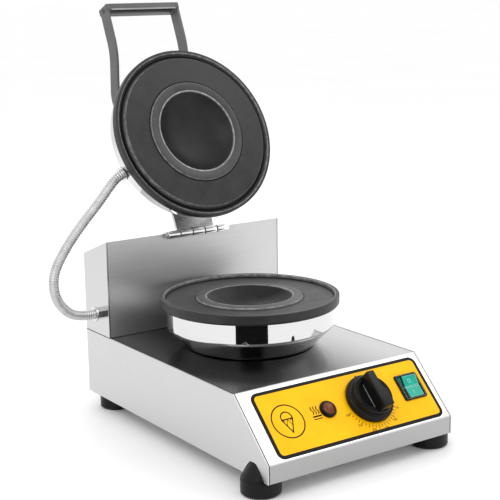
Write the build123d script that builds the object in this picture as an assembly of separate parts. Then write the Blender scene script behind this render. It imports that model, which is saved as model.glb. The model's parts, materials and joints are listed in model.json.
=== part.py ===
"""Countertop cone and bun press: a heated lower plate on a steel case, and a heated lid on a hinge.

Millimetres. X is to the right, Y is towards the back, Z is up, and the floor is Z = 0.
The lid stands open against its stop, which is the rest pose.
"""

from build123d import *
import math
import os

# --- Case ---
CASE_WIDTH = 240.0
CASE_LENGTH = 366.0
FRONT_Y = -216.0
FOOT_HEIGHT = 17.5
LIP_HEIGHT = 19.0
DECK_HEIGHT = 76.0
SLOPE_RUN = 58.0
SHEET = 1.2
SEAM = 0.6
BEND = 2.5
FLANGE = 12.0

REAR_Y = FRONT_Y + CASE_LENGTH
CASE_Z = FOOT_HEIGHT
LIP_Z = CASE_Z + LIP_HEIGHT
DECK_Z = CASE_Z + DECK_HEIGHT
SIDE_X = CASE_WIDTH / 2
INNER_X = SIDE_X - SHEET
COVER_X = INNER_X - SEAM
SLOPE_RISE = DECK_Z - LIP_Z
SLOPE_ANGLE = math.degrees(math.atan2(SLOPE_RISE, SLOPE_RUN))

# --- Rear housing ---
HOUSING_Y = FRONT_Y + 310.0
HOUSING_TOP_FRONT = CASE_Z + 188.5
HOUSING_TOP_REAR = CASE_Z + 167.5
HOUSING_DEPTH = REAR_Y - HOUSING_Y
TOP_SLOPE = math.degrees(math.atan2(HOUSING_TOP_FRONT - HOUSING_TOP_REAR, HOUSING_DEPTH))
VENT_COUNT = 7
VENT_PITCH = 9.0
VENT_LENGTH = 70.0
VENT_HEIGHT = 3.0
VENT_Z = 112.0
WIRE_SLOT = (150.0, 30.0)
MAINS_X = 80.0
MAINS_Z = DECK_Z + 22.0
MAINS_R = 8.0
MAINS_BORE_R = 4.5

# --- Baking plates ---
PLATE_Y = FRONT_Y + 200.0
RIM_Z = CASE_Z + 132.4
PLATE_R = 100.5
RIM_HEIGHT = 11.0
RIM_INNER_R = 95.5
FIELD_DROP = 4.0
RING_DROP = 1.7
RING_OUTER_R = 59.7
BOWL_R = 48.5
BOWL_DEPTH = 18.0
PLATE_THICKNESS = 9.0
SPIGOT_R = 92.7
CLOSED_GAP = 4.0
UPPER_R = 101.5
LIP_INNER_R = 97.8
GROOVE_DEPTH = 3.0
UPPER_FIELD_R = 91.0
UPPER_FIELD_RISE = 2.5
UPPER_RING_RISE = 2.0

# --- Polished shells under the plates ---
SHELL_R = 94.0
UPPER_SHELL_R = 95.0
SHELL_BASE_R = 72.0
SHELL_SHEET = 1.0
LOWER_BAND_BOTTOM = 34.5
UPPER_BAND_BOTTOM = 30.0
LOWER_HEIGHT = RIM_Z - DECK_Z
SHELL_BEND = 5.0

# --- Heating stack inside each shell ---
ELEMENT_R = 70.0
ELEMENT_TUBE_R = 4.0
CLAMP_INNER_R = 55.0
CLAMP_OUTER_R = 86.0
CLAMP_SHEET = 2.0
WOOL_R = 66.0
WOOL_THICKNESS = 14.0
WOOL_GAP = 3.0
STUD_RING_R = 60.0
STUD_R = 2.5
STUD_ANGLES = (30.0, 150.0, 270.0)
NUT_FLATS = 8.0
NUT_HEIGHT = 4.0
BULB_R = 2.5
BULB_LENGTH = 34.0
BULB_X = 58.0

# --- Hinge and lid ---
OPEN_ANGLE = 115.0
KNUCKLE_R = 4.0
KNUCKLE_LENGTH = 17.0
KNUCKLE_COUNT = 5
KNUCKLE_GAP = 0.2
LEAF_SHEET = 1.5
PIN_R = 1.5
PIN_CLEARANCE = 0.05
FIXED_LEAF_DEPTH = 22.0
MOVING_LEAF_DEPTH = 24.0
RELIEF_R = 6.3
BARREL_OFFSET = 4.2
HINGE_SCREW_R = 1.6
HINGE_SCREW_X = (-31.0, 0.0, 31.0)
HINGE_SCREW_Y = 12.0
LEAF_SCREW_OFFSET = 16.0
HINGE_WIDTH = KNUCKLE_LENGTH * KNUCKLE_COUNT
MOVING_WIDTH = KNUCKLE_LENGTH * 3
HINGE_Y = HOUSING_Y - BARREL_OFFSET
TOP_SIN = math.sin(math.radians(TOP_SLOPE))
TOP_COS = math.cos(math.radians(TOP_SLOPE))
HINGE_Z = HOUSING_TOP_FRONT + (LEAF_SHEET - KNUCKLE_R + BARREL_OFFSET * TOP_SIN) / TOP_COS
CLOSED_Z = RIM_Z + CLOSED_GAP
LID_HEIGHT = HINGE_Z + KNUCKLE_R - CLOSED_Z
BRACKET_SHEET = 2.5
BRACKET_END = 8.0
BRACKET_NEAR = HINGE_Y - PLATE_Y - 84.0
HINGE_AXIS = Axis((0, HINGE_Y, HINGE_Z), (1, 0, 0))

# --- Handle ---
ARM_X = 47.0
ARM_SHEET = 3.0
ARM_WIDTH = 17.0
ARM_PATH = [(-15.0, 75.5), (-78.0, 75.5), (-124.0, 52.5), (-179.0, 50.5)]
ARM_BENDS = [20.0, 70.0]
ARM_FOOT_SHEET = 3.0
ARM_FOOT_WIDTH = 18.0
ARM_FOOT_LENGTH = 52.0
GRIP_NEAR = 173.0
GRIP_FAR = 181.5
GRIP_DEPTH = 22.0
GRIP_Z = 51.5
GRIP_GROOVE = (43.0, 51.5)
GRIP_GROOVE_DEPTH = 3.5
GRIP_SCREW_R = 1.5

# --- Fascia ---
LABEL_LEFT = -104.0
LABEL_RIGHT = 112.0
LABEL_LOW = 2.5
LABEL_HIGH = 76.5
LABEL_CORNER = 8.0
LABEL_SHEET = 0.5
KNOB_X = 28.0
KNOB_S = 40.0
PILOT_X = -24.5
PILOT_S = 41.0
SWITCH_X = 88.0
SWITCH_S = 43.0
SHAFT_R = 3.0
SHAFT_CLEARANCE = 0.05
BUSH_R = 4.9
KNOB_LIFT = 1.0
SKIRT_R = 27.0
SKIRT_HEIGHT = 7.0
TIER_R = 22.5
TIER_HEIGHT = 6.0
WING_HEIGHT = 11.0
WING_WIDTH = 17.0
WING_LENGTH = 46.0
KNOB_BORE_DEPTH = 14.0
PILOT_R = 9.4
LENS_R = 6.6
LENS_DOME = 2.2
LENS_TOP = 6.2
BEZEL_SIDE = 30.0
BEZEL_RISE = 3.0
ROCKER_WIDTH = 22.5
ROCKER_R = 12.6
ROCKER_PIVOT = -1.0
ROCKER_TILT = 7.0
ROCKER_GAP = 0.5
TRUNNION_R = 1.6
TRUNNION_CLEARANCE = 0.04
SWITCH_BODY = (27.0, 28.0, 20.0)

# --- Feet ---
FOOT_R = 20.5
FRONT_FOOT_X = 111.0
FRONT_FOOT_Y = FRONT_Y + 25.0
REAR_FOOT_X = 97.0
REAR_FOOT_Y = FRONT_Y + 341.0
FOOT_NOTCH_GAP = 0.9
FOOT_SCREW_R = 2.5
BRACKET_PLATE = 1.5

# --- Flexible metal conduit between the housing and the lid ---
CONDUIT_R = 5.75
LOWER_GLAND_Y = FRONT_Y + 317.0
LOWER_GLAND_Z = CASE_Z + 106.0
GLAND_HEX = 12.5
GLAND_FLANGE_R = 8.5
GLAND_FLANGE = 2.0
GLAND_STUB_R = 4.2
GLAND_BORE_R = 3.2
LOCKNUT_FLATS = 11.0
LOWER_HEX_LENGTH = 13.0
UPPER_HEX_LENGTH = 5.5
UPPER_GLAND_ANGLE = 20.0
UPPER_GLAND_Z = 22.4
CONDUIT_LEAD = 7.0
CONDUIT_MIDDLE = [
    (-112.0, 92.4, 270.5),
    (-126.0, 94.0, 253.0),
    (-148.0, 95.3, 230.5),
    (-169.5, 96.7, 204.5),
    (-185.5, 98.0, 177.0),
    (-183.5, 99.5, 150.0),
    (-170.0, 100.7, 131.5),
]
CONDUIT_TAIL = 18.0

LABEL_PLANE = Plane(
    origin=(0, FRONT_Y, LIP_Z),
    x_dir=(1, 0, 0),
    z_dir=(0, -math.sin(math.radians(SLOPE_ANGLE)), math.cos(math.radians(SLOPE_ANGLE))),
)
TOP_PLANE = Plane(origin=(0, HOUSING_Y, HOUSING_TOP_FRONT), x_dir=(1, 0, 0), z_dir=(0, TOP_SIN, TOP_COS))
LOWER_PLANE = Plane(origin=(0, PLATE_Y, RIM_Z), x_dir=(1, 0, 0), z_dir=(0, 0, 1))
CLOSED_PLANE = Plane(origin=(0, PLATE_Y, CLOSED_Z), x_dir=(1, 0, 0), z_dir=(0, 0, 1))


# --- Shared shapes ---
def block(x, y, z):
    """A box between two corners along each axis."""
    size = Box(x[1] - x[0], y[1] - y[0], z[1] - z[0])
    return Pos((x[0] + x[1]) / 2, (y[0] + y[1]) / 2, (z[0] + z[1]) / 2) * size


def disc(radius, z0, z1, x=0.0, y=0.0):
    """An upright cylinder from z0 to z1."""
    return Pos(x, y, (z0 + z1) / 2) * Cylinder(radius, z1 - z0)


def ring(outer, inner, z0, z1, x=0.0, y=0.0):
    """An upright tube from z0 to z1."""
    return disc(outer, z0, z1, x, y) - disc(inner, z0 - 1, z1 + 1, x, y)


def hexagon_bar(flats, z0, z1, x=0.0, y=0.0):
    """An upright hexagonal bar, measured across its flats."""
    outline = RegularPolygon(flats / 2, 6, major_radius=False)
    return Pos(x, y, z0) * extrude(outline, z1 - z0)


def turned(*edges):
    """A solid turned about Z from a closed half outline of radius and height."""
    return revolve(Plane.XZ * make_face(edges), Axis.Z)


def turned_outline(points):
    """A turned solid whose half outline has straight sides only."""
    return turned(Polyline(*points, close=True))


def rounded(part, radius, circles):
    """The part with a fillet on each circular edge given by its radius and height."""
    chosen = []
    for r, z in circles:
        for edge in part.edges().filter_by(GeomType.CIRCLE):
            if abs(edge.radius - r) < 0.01 and abs(edge.center().Z - z) < 0.01:
                chosen.append(edge)
    return fillet(chosen, radius)


def folded(points, width, thickness, skip=0.0):
    """A folded sheet, centred on X, under an outline in the YZ plane; skip is the depth left out."""
    path = Wire(FilletPolyline(*points, radius=BEND).edges())
    face = Face(path.offset_2d(thickness, side=Side.RIGHT))
    if skip:
        face = face - Face(path.offset_2d(skip, side=Side.RIGHT))
    return extrude(Plane.YZ * face, width / 2, both=True)


def screw(radius, length, head_r, head_h):
    """A screw with its head above Z = 0 and its shank below, with a cross slot."""
    body = disc(radius, -length, 0) + disc(head_r, 0, head_h)
    slot = block((-head_r * 0.6, head_r * 0.6), (-0.4, 0.4), (head_h * 0.5, head_h + 1))
    return body - slot - Rot(0, 0, 90) * slot


def open_lid(part):
    """A part drawn at the closed plate's centre, swung to the open rest pose."""
    return (CLOSED_PLANE.location * part).rotate(HINGE_AXIS, -OPEN_ANGLE)


# --- Case ---
def deck_outline():
    return [(FRONT_Y, CASE_Z), (FRONT_Y, LIP_Z), (FRONT_Y + SLOPE_RUN, DECK_Z), (REAR_Y, DECK_Z)]


def foot_profile(extra):
    """A front foot about its own axis, its widest part grown by extra."""
    r = FOOT_R + extra
    points = [(0, 0), (r - 2, 0), (r, 2), (r, 15.5), (r - 1.6, 18.5), (9.6 + extra, 32.6), (8, 34), (0, 34)]
    return turned_outline(points)


def deck_wrap():
    """Lip, sloping fascia and deck, folded from one sheet."""
    sheet = folded(deck_outline(), 2 * COVER_X, SHEET)
    fascia_holes = [
        Pos(KNOB_X, KNOB_S, 0) * Cylinder(BUSH_R + 0.1, 10),
        Pos(PILOT_X, PILOT_S, 0) * Cylinder(5.6, 10),
        Pos(SWITCH_X, SWITCH_S, 0) * Box(SWITCH_BODY[0] + 0.4, SWITCH_BODY[1] + 0.4, 10),
    ]
    for hole in fascia_holes:
        sheet -= LABEL_PLANE.location * hole
    sheet -= disc(12, DECK_Z - 5, DECK_Z + 5, 0, PLATE_Y)
    for x, y in stud_places():
        sheet -= disc(STUD_R, DECK_Z - 5, DECK_Z + 5, x, PLATE_Y + y)
    slot_y = HOUSING_Y + HOUSING_DEPTH / 2
    sheet -= Pos(0, slot_y, DECK_Z) * Box(WIRE_SLOT[0], WIRE_SLOT[1], 10)
    return sheet


def side_panel(side):
    """A side wall with a flange under the deck, a flange along the bottom, and a foot notch."""
    outline = deck_outline() + [(REAR_Y, CASE_Z)]
    wall = extrude(Plane.YZ * make_face(Polyline(*outline, close=True)), SHEET)
    wall = Pos(INNER_X, 0, 0) * wall
    flange = folded(deck_outline()[1:], 2 * INNER_X, 2 * SHEET, SHEET)
    flange &= block((INNER_X - FLANGE, INNER_X), (FRONT_Y + 30, REAR_Y - 2), (CASE_Z, DECK_Z))
    foot = block((INNER_X - FLANGE, INNER_X), (FRONT_Y + 48, REAR_Y - 2), (CASE_Z + SHEET, CASE_Z + 2 * SHEET))
    panel = wall + flange + foot
    panel -= Pos(FRONT_FOOT_X, FRONT_FOOT_Y, 0) * foot_profile(FOOT_NOTCH_GAP)
    if side < 0:
        panel = mirror(panel, Plane.YZ)
    return panel


def rear_panel():
    """The back wall of the case, between the side walls."""
    wall = block((-COVER_X, COVER_X), (REAR_Y - SHEET, REAR_Y), (CASE_Z, DECK_Z - SHEET))
    for x in (-INNER_X + FLANGE, INNER_X - FLANGE):
        wall -= Pos(x + math.copysign(4, x), REAR_Y, DECK_Z - 20) * Rot(90, 0, 0) * Cylinder(1.6, 10)
    return wall


def bottom_plate():
    """The case floor, screwed to the side flanges, with slots that let cool air in."""
    z0, z1 = CASE_Z, CASE_Z + SHEET
    plate = block((-COVER_X, COVER_X), (FRONT_Y + SHEET + SEAM, REAR_Y - SHEET - SEAM), (z0, z1))
    for x in (-FRONT_FOOT_X, FRONT_FOOT_X):
        plate -= disc(FOOT_R + 2, CASE_Z - 1, z1 + 1, x, FRONT_FOOT_Y)
    for row in range(2):
        for i in range(9):
            y = PLATE_Y - 60 + 15 * i
            plate -= block((-60 + 70 * row, -10 + 70 * row), (y - 2, y + 2), (z0 - 1, z1 + 1))
    for x in (-REAR_FOOT_X, REAR_FOOT_X):
        plate -= disc(FOOT_SCREW_R, z0 - 1, z1 + 1, x, REAR_FOOT_Y)
    return plate


def housing_profile(inset):
    """The side outline of the rear housing, with its top lowered by inset."""
    return [
        (HOUSING_Y, DECK_Z),
        (HOUSING_Y, HOUSING_TOP_FRONT - inset),
        (REAR_Y, HOUSING_TOP_REAR - inset),
        (REAR_Y, DECK_Z),
    ]


def housing_shell():
    """The two side walls and the back of the rear housing, folded from one sheet."""
    solid = extrude(Plane.YZ * make_face(Polyline(*housing_profile(0), close=True)), SIDE_X, both=True)
    hollow = block((-INNER_X, INNER_X), (HOUSING_Y - 1, REAR_Y - SHEET), (DECK_Z - 1, HOUSING_TOP_FRONT + 1))
    shell = solid - hollow
    for i in range(VENT_COUNT):
        z = VENT_Z + VENT_PITCH * i
        shell -= block((-VENT_LENGTH / 2, VENT_LENGTH / 2), (REAR_Y - 5, REAR_Y + 5), (z, z + VENT_HEIGHT))
    gland = Pos(-SIDE_X, LOWER_GLAND_Y, LOWER_GLAND_Z) * Rot(0, 90, 0)
    shell -= gland * Cylinder(GLAND_STUB_R, 10)
    mains = Pos(MAINS_X, REAR_Y, MAINS_Z) * Rot(90, 0, 0)
    shell -= mains * Cylinder(MAINS_R, 10)
    return shell


def hinge_relief():
    """The space that the moving knuckles and leaf sweep at the housing's top edge."""
    bar = Rot(0, 90, 0) * Cylinder(RELIEF_R, MOVING_WIDTH + 1)
    return Pos(0, HINGE_Y, HINGE_Z) * bar


def housing_front():
    """The front wall of the rear housing."""
    top = HOUSING_TOP_FRONT - SHEET / TOP_COS
    wall = block((-COVER_X, COVER_X), (HOUSING_Y, HOUSING_Y + SHEET), (DECK_Z, top))
    return wall - hinge_relief() - TOP_PLANE.location * Pos(0, 0, 9 - SHEET) * Box(300, 60, 18)


def housing_top():
    """The sloping top cover of the rear housing."""
    length = HOUSING_DEPTH / TOP_COS
    flat = block((-COVER_X, COVER_X), (0, length), (-SHEET, 0))
    cover = TOP_PLANE.location * flat
    keep = block((-SIDE_X, SIDE_X), (HOUSING_Y, REAR_Y - SHEET), (DECK_Z, HOUSING_TOP_FRONT + 5))
    cover = (cover & keep) - hinge_relief()
    for x in HINGE_SCREW_X:
        cover -= TOP_PLANE.location * Pos(x, HINGE_SCREW_Y, 0) * Cylinder(HINGE_SCREW_R, 10)
    return cover


# --- Fascia ---
def on_label(part):
    return LABEL_PLANE.location * part


def fascia_label():
    """A thin printed plate on the fascia, with openings for the controls."""
    width = LABEL_RIGHT - LABEL_LEFT
    height = LABEL_HIGH - LABEL_LOW
    outline = RectangleRounded(width, height, LABEL_CORNER)
    plate = Pos((LABEL_LEFT + LABEL_RIGHT) / 2, (LABEL_LOW + LABEL_HIGH) / 2, 0) * extrude(outline, LABEL_SHEET)
    plate -= Pos(KNOB_X, KNOB_S, 0) * Cylinder(BUSH_R + 0.1, 5)
    plate -= Pos(PILOT_X, PILOT_S, 0) * Cylinder(5.6, 5)
    plate -= Pos(SWITCH_X, SWITCH_S, 0) * Box(SWITCH_BODY[0] + 0.4, SWITCH_BODY[1] + 0.4, 5)
    return on_label(plate)


def thermostat_body():
    """The capillary thermostat behind the fascia, with its threaded bush."""
    back = -SHEET
    body = block((-20, 20), (-17, 17), (back - 30, back - 2))
    body = fillet(body.edges().filter_by(Axis.Z), 3)
    body += block((-20, 20), (-4, 4), (back - 2, back))
    body += disc(BUSH_R, back - 4, LABEL_SHEET + 0.4)
    body -= disc(SHAFT_R + SHAFT_CLEARANCE, back - 24, 10)
    for x in (-14, 14):
        body += disc(2.4, back - 36, back - 30, x, 0)
    return on_label(Pos(KNOB_X, KNOB_S, 0) * body)


def thermostat_shaft():
    """The turning shaft of the thermostat, flat on one side where the knob grips it."""
    top = LABEL_SHEET + KNOB_LIFT + KNOB_BORE_DEPTH
    shaft = disc(SHAFT_R, -SHEET - 22, top)
    shaft -= block((SHAFT_R - 1, SHAFT_R + 1), (-4, 4), (LABEL_SHEET + KNOB_LIFT, top + 1))
    return on_label(Pos(KNOB_X, KNOB_S, 0) * shaft)


def knob():
    """A control knob: a skirt, two steps and a raised grip bar with one scooped side."""
    z0 = LABEL_SHEET + KNOB_LIFT
    z1 = z0 + SKIRT_HEIGHT
    z2 = z1 + TIER_HEIGHT
    z3 = z2 + WING_HEIGHT
    skirt = [(0, z0), (SKIRT_R, z0), (SKIRT_R, z0 + 2.5), (SKIRT_R - 1, z1 - 1), (SKIRT_R - 2.4, z1), (0, z1)]
    tier = [(0, z1), (TIER_R, z1), (TIER_R - 0.6, z2 - 1), (TIER_R - 2, z2), (0, z2)]
    body = turned_outline(skirt) + turned_outline(tier)
    bar = block((-WING_WIDTH / 2, WING_WIDTH / 2), (-WING_LENGTH / 2, WING_LENGTH / 2), (z2 - 1, z3))
    bar = fillet(bar.edges().filter_by(Axis.Z), 2.0)
    bar = fillet(bar.faces().sort_by(Axis.Z)[-1].edges(), 1.2)
    scoop = Pos(-WING_WIDTH / 2 - 9, 0, z3 + 2) * Rot(90, 0, 0) * Cylinder(12.5, 80)
    body += bar - scoop
    dish = Pos(-WING_WIDTH, 0, z2 + 9) * Sphere(14)
    body = body - (dish & disc(TIER_R - 3, z2 - 6, z3))
    bore = disc(SHAFT_R, z0 - 1, z0 + KNOB_BORE_DEPTH)
    bore -= block((SHAFT_R - 1, SHAFT_R + 1), (-4, 4), (z0 - 2, z0 + KNOB_BORE_DEPTH))
    body -= bore
    return on_label(Pos(KNOB_X, KNOB_S, 0) * (body - knob_pointer_shape()))


def knob_pointer_shape():
    z3 = LABEL_SHEET + KNOB_LIFT + SKIRT_HEIGHT + TIER_HEIGHT + WING_HEIGHT
    return block((1.6, 2.6), (WING_LENGTH / 2 - 14, WING_LENGTH / 2 - 3), (z3 - 0.6, z3))


def knob_pointer():
    """The painted mark inlaid at the top of the grip bar."""
    return on_label(Pos(KNOB_X, KNOB_S, 0) * knob_pointer_shape())


def pilot_bezel():
    """The dark rim of the pilot lamp, with its neck through the fascia."""
    outline = [(LENS_R, LABEL_SHEET), (PILOT_R, LABEL_SHEET), (PILOT_R, 2.4), (PILOT_R - 1.4, 4.2), (LENS_R, 4.2)]
    rim = turned_outline(outline)
    return on_label(Pos(PILOT_X, PILOT_S, 0) * rim)


def pilot_lens():
    """The domed amber lens of the pilot lamp."""
    dome_r = (LENS_R**2 + LENS_DOME**2) / (2 * LENS_DOME)
    ball = Pos(0, 0, LENS_TOP - dome_r) * Sphere(dome_r)
    return on_label(Pos(PILOT_X, PILOT_S, 0) * (ball & disc(LENS_R, LABEL_SHEET, LENS_TOP + 1)))


def pilot_lamp():
    """The lamp's body behind the lens, with its retaining nut and two terminals."""
    body = disc(5.4, -SHEET - 22, LABEL_SHEET)
    body += hexagon_bar(14, -SHEET - 4, -SHEET)
    for x in (-2.5, 2.5):
        body += block((x - 0.4, x + 0.4), (-1.5, 1.5), (-SHEET - 28, -SHEET - 22))
    return on_label(Pos(PILOT_X, PILOT_S, 0) * body)


def switch_case():
    """The rocker switch's bezel and body, open at the top for the rocker."""
    w, h, d = SWITCH_BODY
    side = BEZEL_SIDE / 2
    bezel = block((-side, side), (-side, side), (LABEL_SHEET, BEZEL_RISE))
    bezel = fillet(bezel.edges().filter_by(Axis.Z), 2.0)
    bezel = chamfer(bezel.faces().sort_by(Axis.Z)[-1].edges(), 0.8)
    body = block((-w / 2, w / 2), (-h / 2, h / 2), (-SHEET - d, LABEL_SHEET))
    half_x = ROCKER_WIDTH / 2 + ROCKER_GAP
    half_y = ROCKER_R + ROCKER_GAP
    cavity = block((-half_x, half_x), (-half_y, half_y), (ROCKER_PIVOT - ROCKER_R - 0.4, 10))
    case = bezel + body - cavity
    pivot = Pos(0, 0, ROCKER_PIVOT) * Rot(0, 90, 0)
    case -= pivot * Cylinder(TRUNNION_R + TRUNNION_CLEARANCE, 2 * half_x + 2.4)
    for x in (-7, 0, 7):
        case += block((x - 3, x + 3), (-0.4, 0.4), (-SHEET - d - 8, -SHEET - d))
    return on_label(Pos(SWITCH_X, SWITCH_S, 0) * case)


def switch_rocker():
    """The rocker, round about its pivot where it turns inside the case, and dished on top."""
    pivot = Pos(0, 0, ROCKER_PIVOT)
    barrel = pivot * Rot(0, 90, 0) * Cylinder(ROCKER_R, ROCKER_WIDTH)
    middle = BEZEL_RISE - 0.8
    edge = middle + ROCKER_R * math.tan(math.radians(ROCKER_TILT))
    low = ROCKER_PIVOT - 4
    outline = [(-ROCKER_R, low), (-ROCKER_R, edge), (0, middle), (ROCKER_R, edge), (ROCKER_R, low)]
    keep = extrude(Plane.YZ * make_face(Polyline(*outline, close=True)), ROCKER_WIDTH / 2, both=True)
    rocker = barrel & keep
    rocker += pivot * Rot(0, 90, 0) * Cylinder(TRUNNION_R, ROCKER_WIDTH + 2 * ROCKER_GAP + 2)
    rocker = Pos(0, 0, ROCKER_PIVOT) * Rot(ROCKER_TILT, 0, 0) * Pos(0, 0, -ROCKER_PIVOT) * rocker
    return on_label(Pos(SWITCH_X, SWITCH_S, 0) * rocker)


# --- Baking plates, shells and heating stacks ---
def stud_places():
    places = []
    for angle in STUD_ANGLES:
        a = math.radians(angle)
        places.append((STUD_RING_R * math.cos(a), STUD_RING_R * math.sin(a)))
    return places


def bowl_cut(top, depth):
    """The dome-shaped hollow in the middle of a plate, going down from the ring."""
    bottom = top - depth
    return turned(
        Polyline((0, bottom), (0, top + 1), (BOWL_R, top + 1), (BOWL_R, top)),
        ThreePointArc((BOWL_R, top), (BOWL_R * 0.80, top - depth * 0.66), (BOWL_R * 0.42, bottom)),
        Line((BOWL_R * 0.42, bottom), (0, bottom)),
    )


def lower_plate():
    """The lower cast plate: a rim, a flat field, a raised ring and a bowl."""
    floor = -FIELD_DROP - PLATE_THICKNESS
    outline = [
        (0, -RING_DROP - BOWL_DEPTH - 6),
        (30, -RING_DROP - BOWL_DEPTH - 6),
        (51, floor),
        (SPIGOT_R, floor),
        (SPIGOT_R, -RIM_HEIGHT),
        (PLATE_R - 1.5, -RIM_HEIGHT),
        (PLATE_R, -RIM_HEIGHT + 2),
        (PLATE_R, 0),
        (RIM_INNER_R, 0),
        (RIM_INNER_R - 0.8, -FIELD_DROP),
        (RING_OUTER_R, -FIELD_DROP),
        (RING_OUTER_R - 0.4, -RING_DROP),
        (0, -RING_DROP),
    ]
    plate = turned_outline(outline) - bowl_cut(-RING_DROP, BOWL_DEPTH)
    plate = rounded(plate, 1.6, [(PLATE_R, 0), (RIM_INNER_R, 0)])
    plate = rounded(plate, 1.5, [(RIM_INNER_R - 0.8, -FIELD_DROP)])
    return rounded(plate, 0.7, [(BOWL_R, -RING_DROP), (RING_OUTER_R - 0.4, -RING_DROP)])


def upper_plate():
    """The upper cast plate, drawn face down: a lip, a groove, a raised field, a ring and a bowl."""
    back = UPPER_FIELD_RISE * -1 + PLATE_THICKNESS + 3
    ring_z = -UPPER_FIELD_RISE - UPPER_RING_RISE
    outline = [
        (0, ring_z),
        (RING_OUTER_R - 0.4, ring_z),
        (RING_OUTER_R, -UPPER_FIELD_RISE),
        (UPPER_FIELD_R - 0.6, -UPPER_FIELD_RISE),
        (UPPER_FIELD_R, GROOVE_DEPTH),
        (LIP_INNER_R - 0.6, GROOVE_DEPTH),
        (LIP_INNER_R, 0),
        (UPPER_R, 0),
        (UPPER_R, RIM_HEIGHT - 2),
        (UPPER_R - 1.5, RIM_HEIGHT),
        (SPIGOT_R + 1, RIM_HEIGHT),
        (SPIGOT_R + 1, back + 2),
        (51, back + 2),
        (30, ring_z + BOWL_DEPTH + 6),
        (0, ring_z + BOWL_DEPTH + 6),
    ]
    hollow = mirror(bowl_cut(-ring_z, BOWL_DEPTH), Plane.XY)
    plate = turned_outline(outline) - hollow
    plate = rounded(plate, 1.2, [(UPPER_R, 0), (LIP_INNER_R, 0)])
    plate = rounded(plate, 1.2, [(UPPER_FIELD_R - 0.6, -UPPER_FIELD_RISE), (UPPER_FIELD_R, GROOVE_DEPTH)])
    return rounded(plate, 0.7, [(BOWL_R, ring_z), (RING_OUTER_R - 0.4, ring_z)])


def shell_wall(radius, top, band, base_r, bottom):
    """A spun shell: a straight band, a rounded turn and a cone to a flat base, going down."""
    outer = FilletPolyline((radius, top), (radius, band), (base_r, bottom), (0, bottom), radius=SHELL_BEND)
    path = Wire(outer.edges())
    face = Face(path.offset_2d(SHELL_SHEET, side=Side.RIGHT))
    return revolve(Plane.XZ * face, Axis.Z)


def lower_shell():
    """The polished shell under the lower plate, standing on the deck."""
    shell = shell_wall(SHELL_R, -RIM_HEIGHT, -LOWER_BAND_BOTTOM, SHELL_BASE_R, -LOWER_HEIGHT)
    for x, y in stud_places():
        shell -= disc(STUD_R, -LOWER_HEIGHT - 5, -LOWER_HEIGHT + 5, x, y)
    return shell - disc(12, -LOWER_HEIGHT - 5, -LOWER_HEIGHT + 5)


def upper_gland_place():
    """The upper gland's place on the closed lid, with its own Z pointing outwards."""
    a = math.radians(UPPER_GLAND_ANGLE)
    outward = Vector(-math.cos(a), math.sin(a), 0)
    wall = outward * UPPER_SHELL_R
    return Plane(origin=(wall.X, wall.Y, UPPER_GLAND_Z), x_dir=(0, 0, 1), z_dir=outward)


def upper_shell():
    """The polished shell behind the upper plate."""
    shell = shell_wall(UPPER_SHELL_R, -RIM_HEIGHT, -UPPER_BAND_BOTTOM, SHELL_BASE_R, -LID_HEIGHT)
    shell = mirror(shell, Plane.XY)
    for x, y in stud_places():
        shell -= disc(STUD_R, LID_HEIGHT - 5, LID_HEIGHT + 5, x, y)
    for x, y in foot_screw_places() + bracket_screw_places():
        shell -= disc(HINGE_SCREW_R, LID_HEIGHT - 5, LID_HEIGHT + 5, x, y)
    return shell - upper_gland_place().location * Cylinder(GLAND_STUB_R, 12)


def heating_element(z):
    """A ring of sheathed heating tube lying against the back of a plate."""
    return Pos(0, 0, z) * Torus(ELEMENT_R, ELEMENT_TUBE_R)


def clamp_ring(z0, z1):
    """A flat ring that presses the heating tube against the plate."""
    plate = ring(CLAMP_OUTER_R, CLAMP_INNER_R, z0, z1)
    for x, y in stud_places():
        plate -= disc(STUD_R, z0 - 1, z1 + 1, x, y)
    return plate


def wool_pad(z0, z1):
    """A pad of ceramic wool under the clamp ring."""
    pad = disc(WOOL_R, z0, z1) - disc(14, z0 - 1, z1 + 1)
    for x, y in stud_places():
        pad -= disc(STUD_R, z0 - 1, z1 + 1, x, y)
    return pad


def studs(z0, z1):
    """Three studs that hold a plate, its clamp ring and its shell together."""
    return Compound([disc(STUD_R, z0, z1, x, y) for x, y in stud_places()])


def stud_nuts(z0, z1):
    """The nuts on the three studs."""
    nuts = []
    for x, y in stud_places():
        nuts.append(hexagon_bar(NUT_FLATS, z0, z1, x, y) - disc(STUD_R, z0 - 1, z1 + 1, x, y))
    return Compound(nuts)


def sensor_bulb(z):
    """The thermostat's sensing bulb, clipped under the lower plate."""
    return Pos(BULB_X, 0, z) * Rot(90, 0, 0) * Cylinder(BULB_R, BULB_LENGTH)


# --- Hinge ---
def knuckle(index, bore_r):
    """One knuckle of the hinge barrel."""
    x = (index - (KNUCKLE_COUNT - 1) / 2) * KNUCKLE_LENGTH
    length = KNUCKLE_LENGTH - 2 * KNUCKLE_GAP
    tube = Cylinder(KNUCKLE_R, length) - Cylinder(bore_r, length + 2)
    return Pos(x, HINGE_Y, HINGE_Z) * Rot(0, 90, 0) * tube


def hinge_bore(bore_r):
    return Pos(0, HINGE_Y, HINGE_Z) * Rot(0, 90, 0) * Cylinder(bore_r, HINGE_WIDTH + 4)


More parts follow.
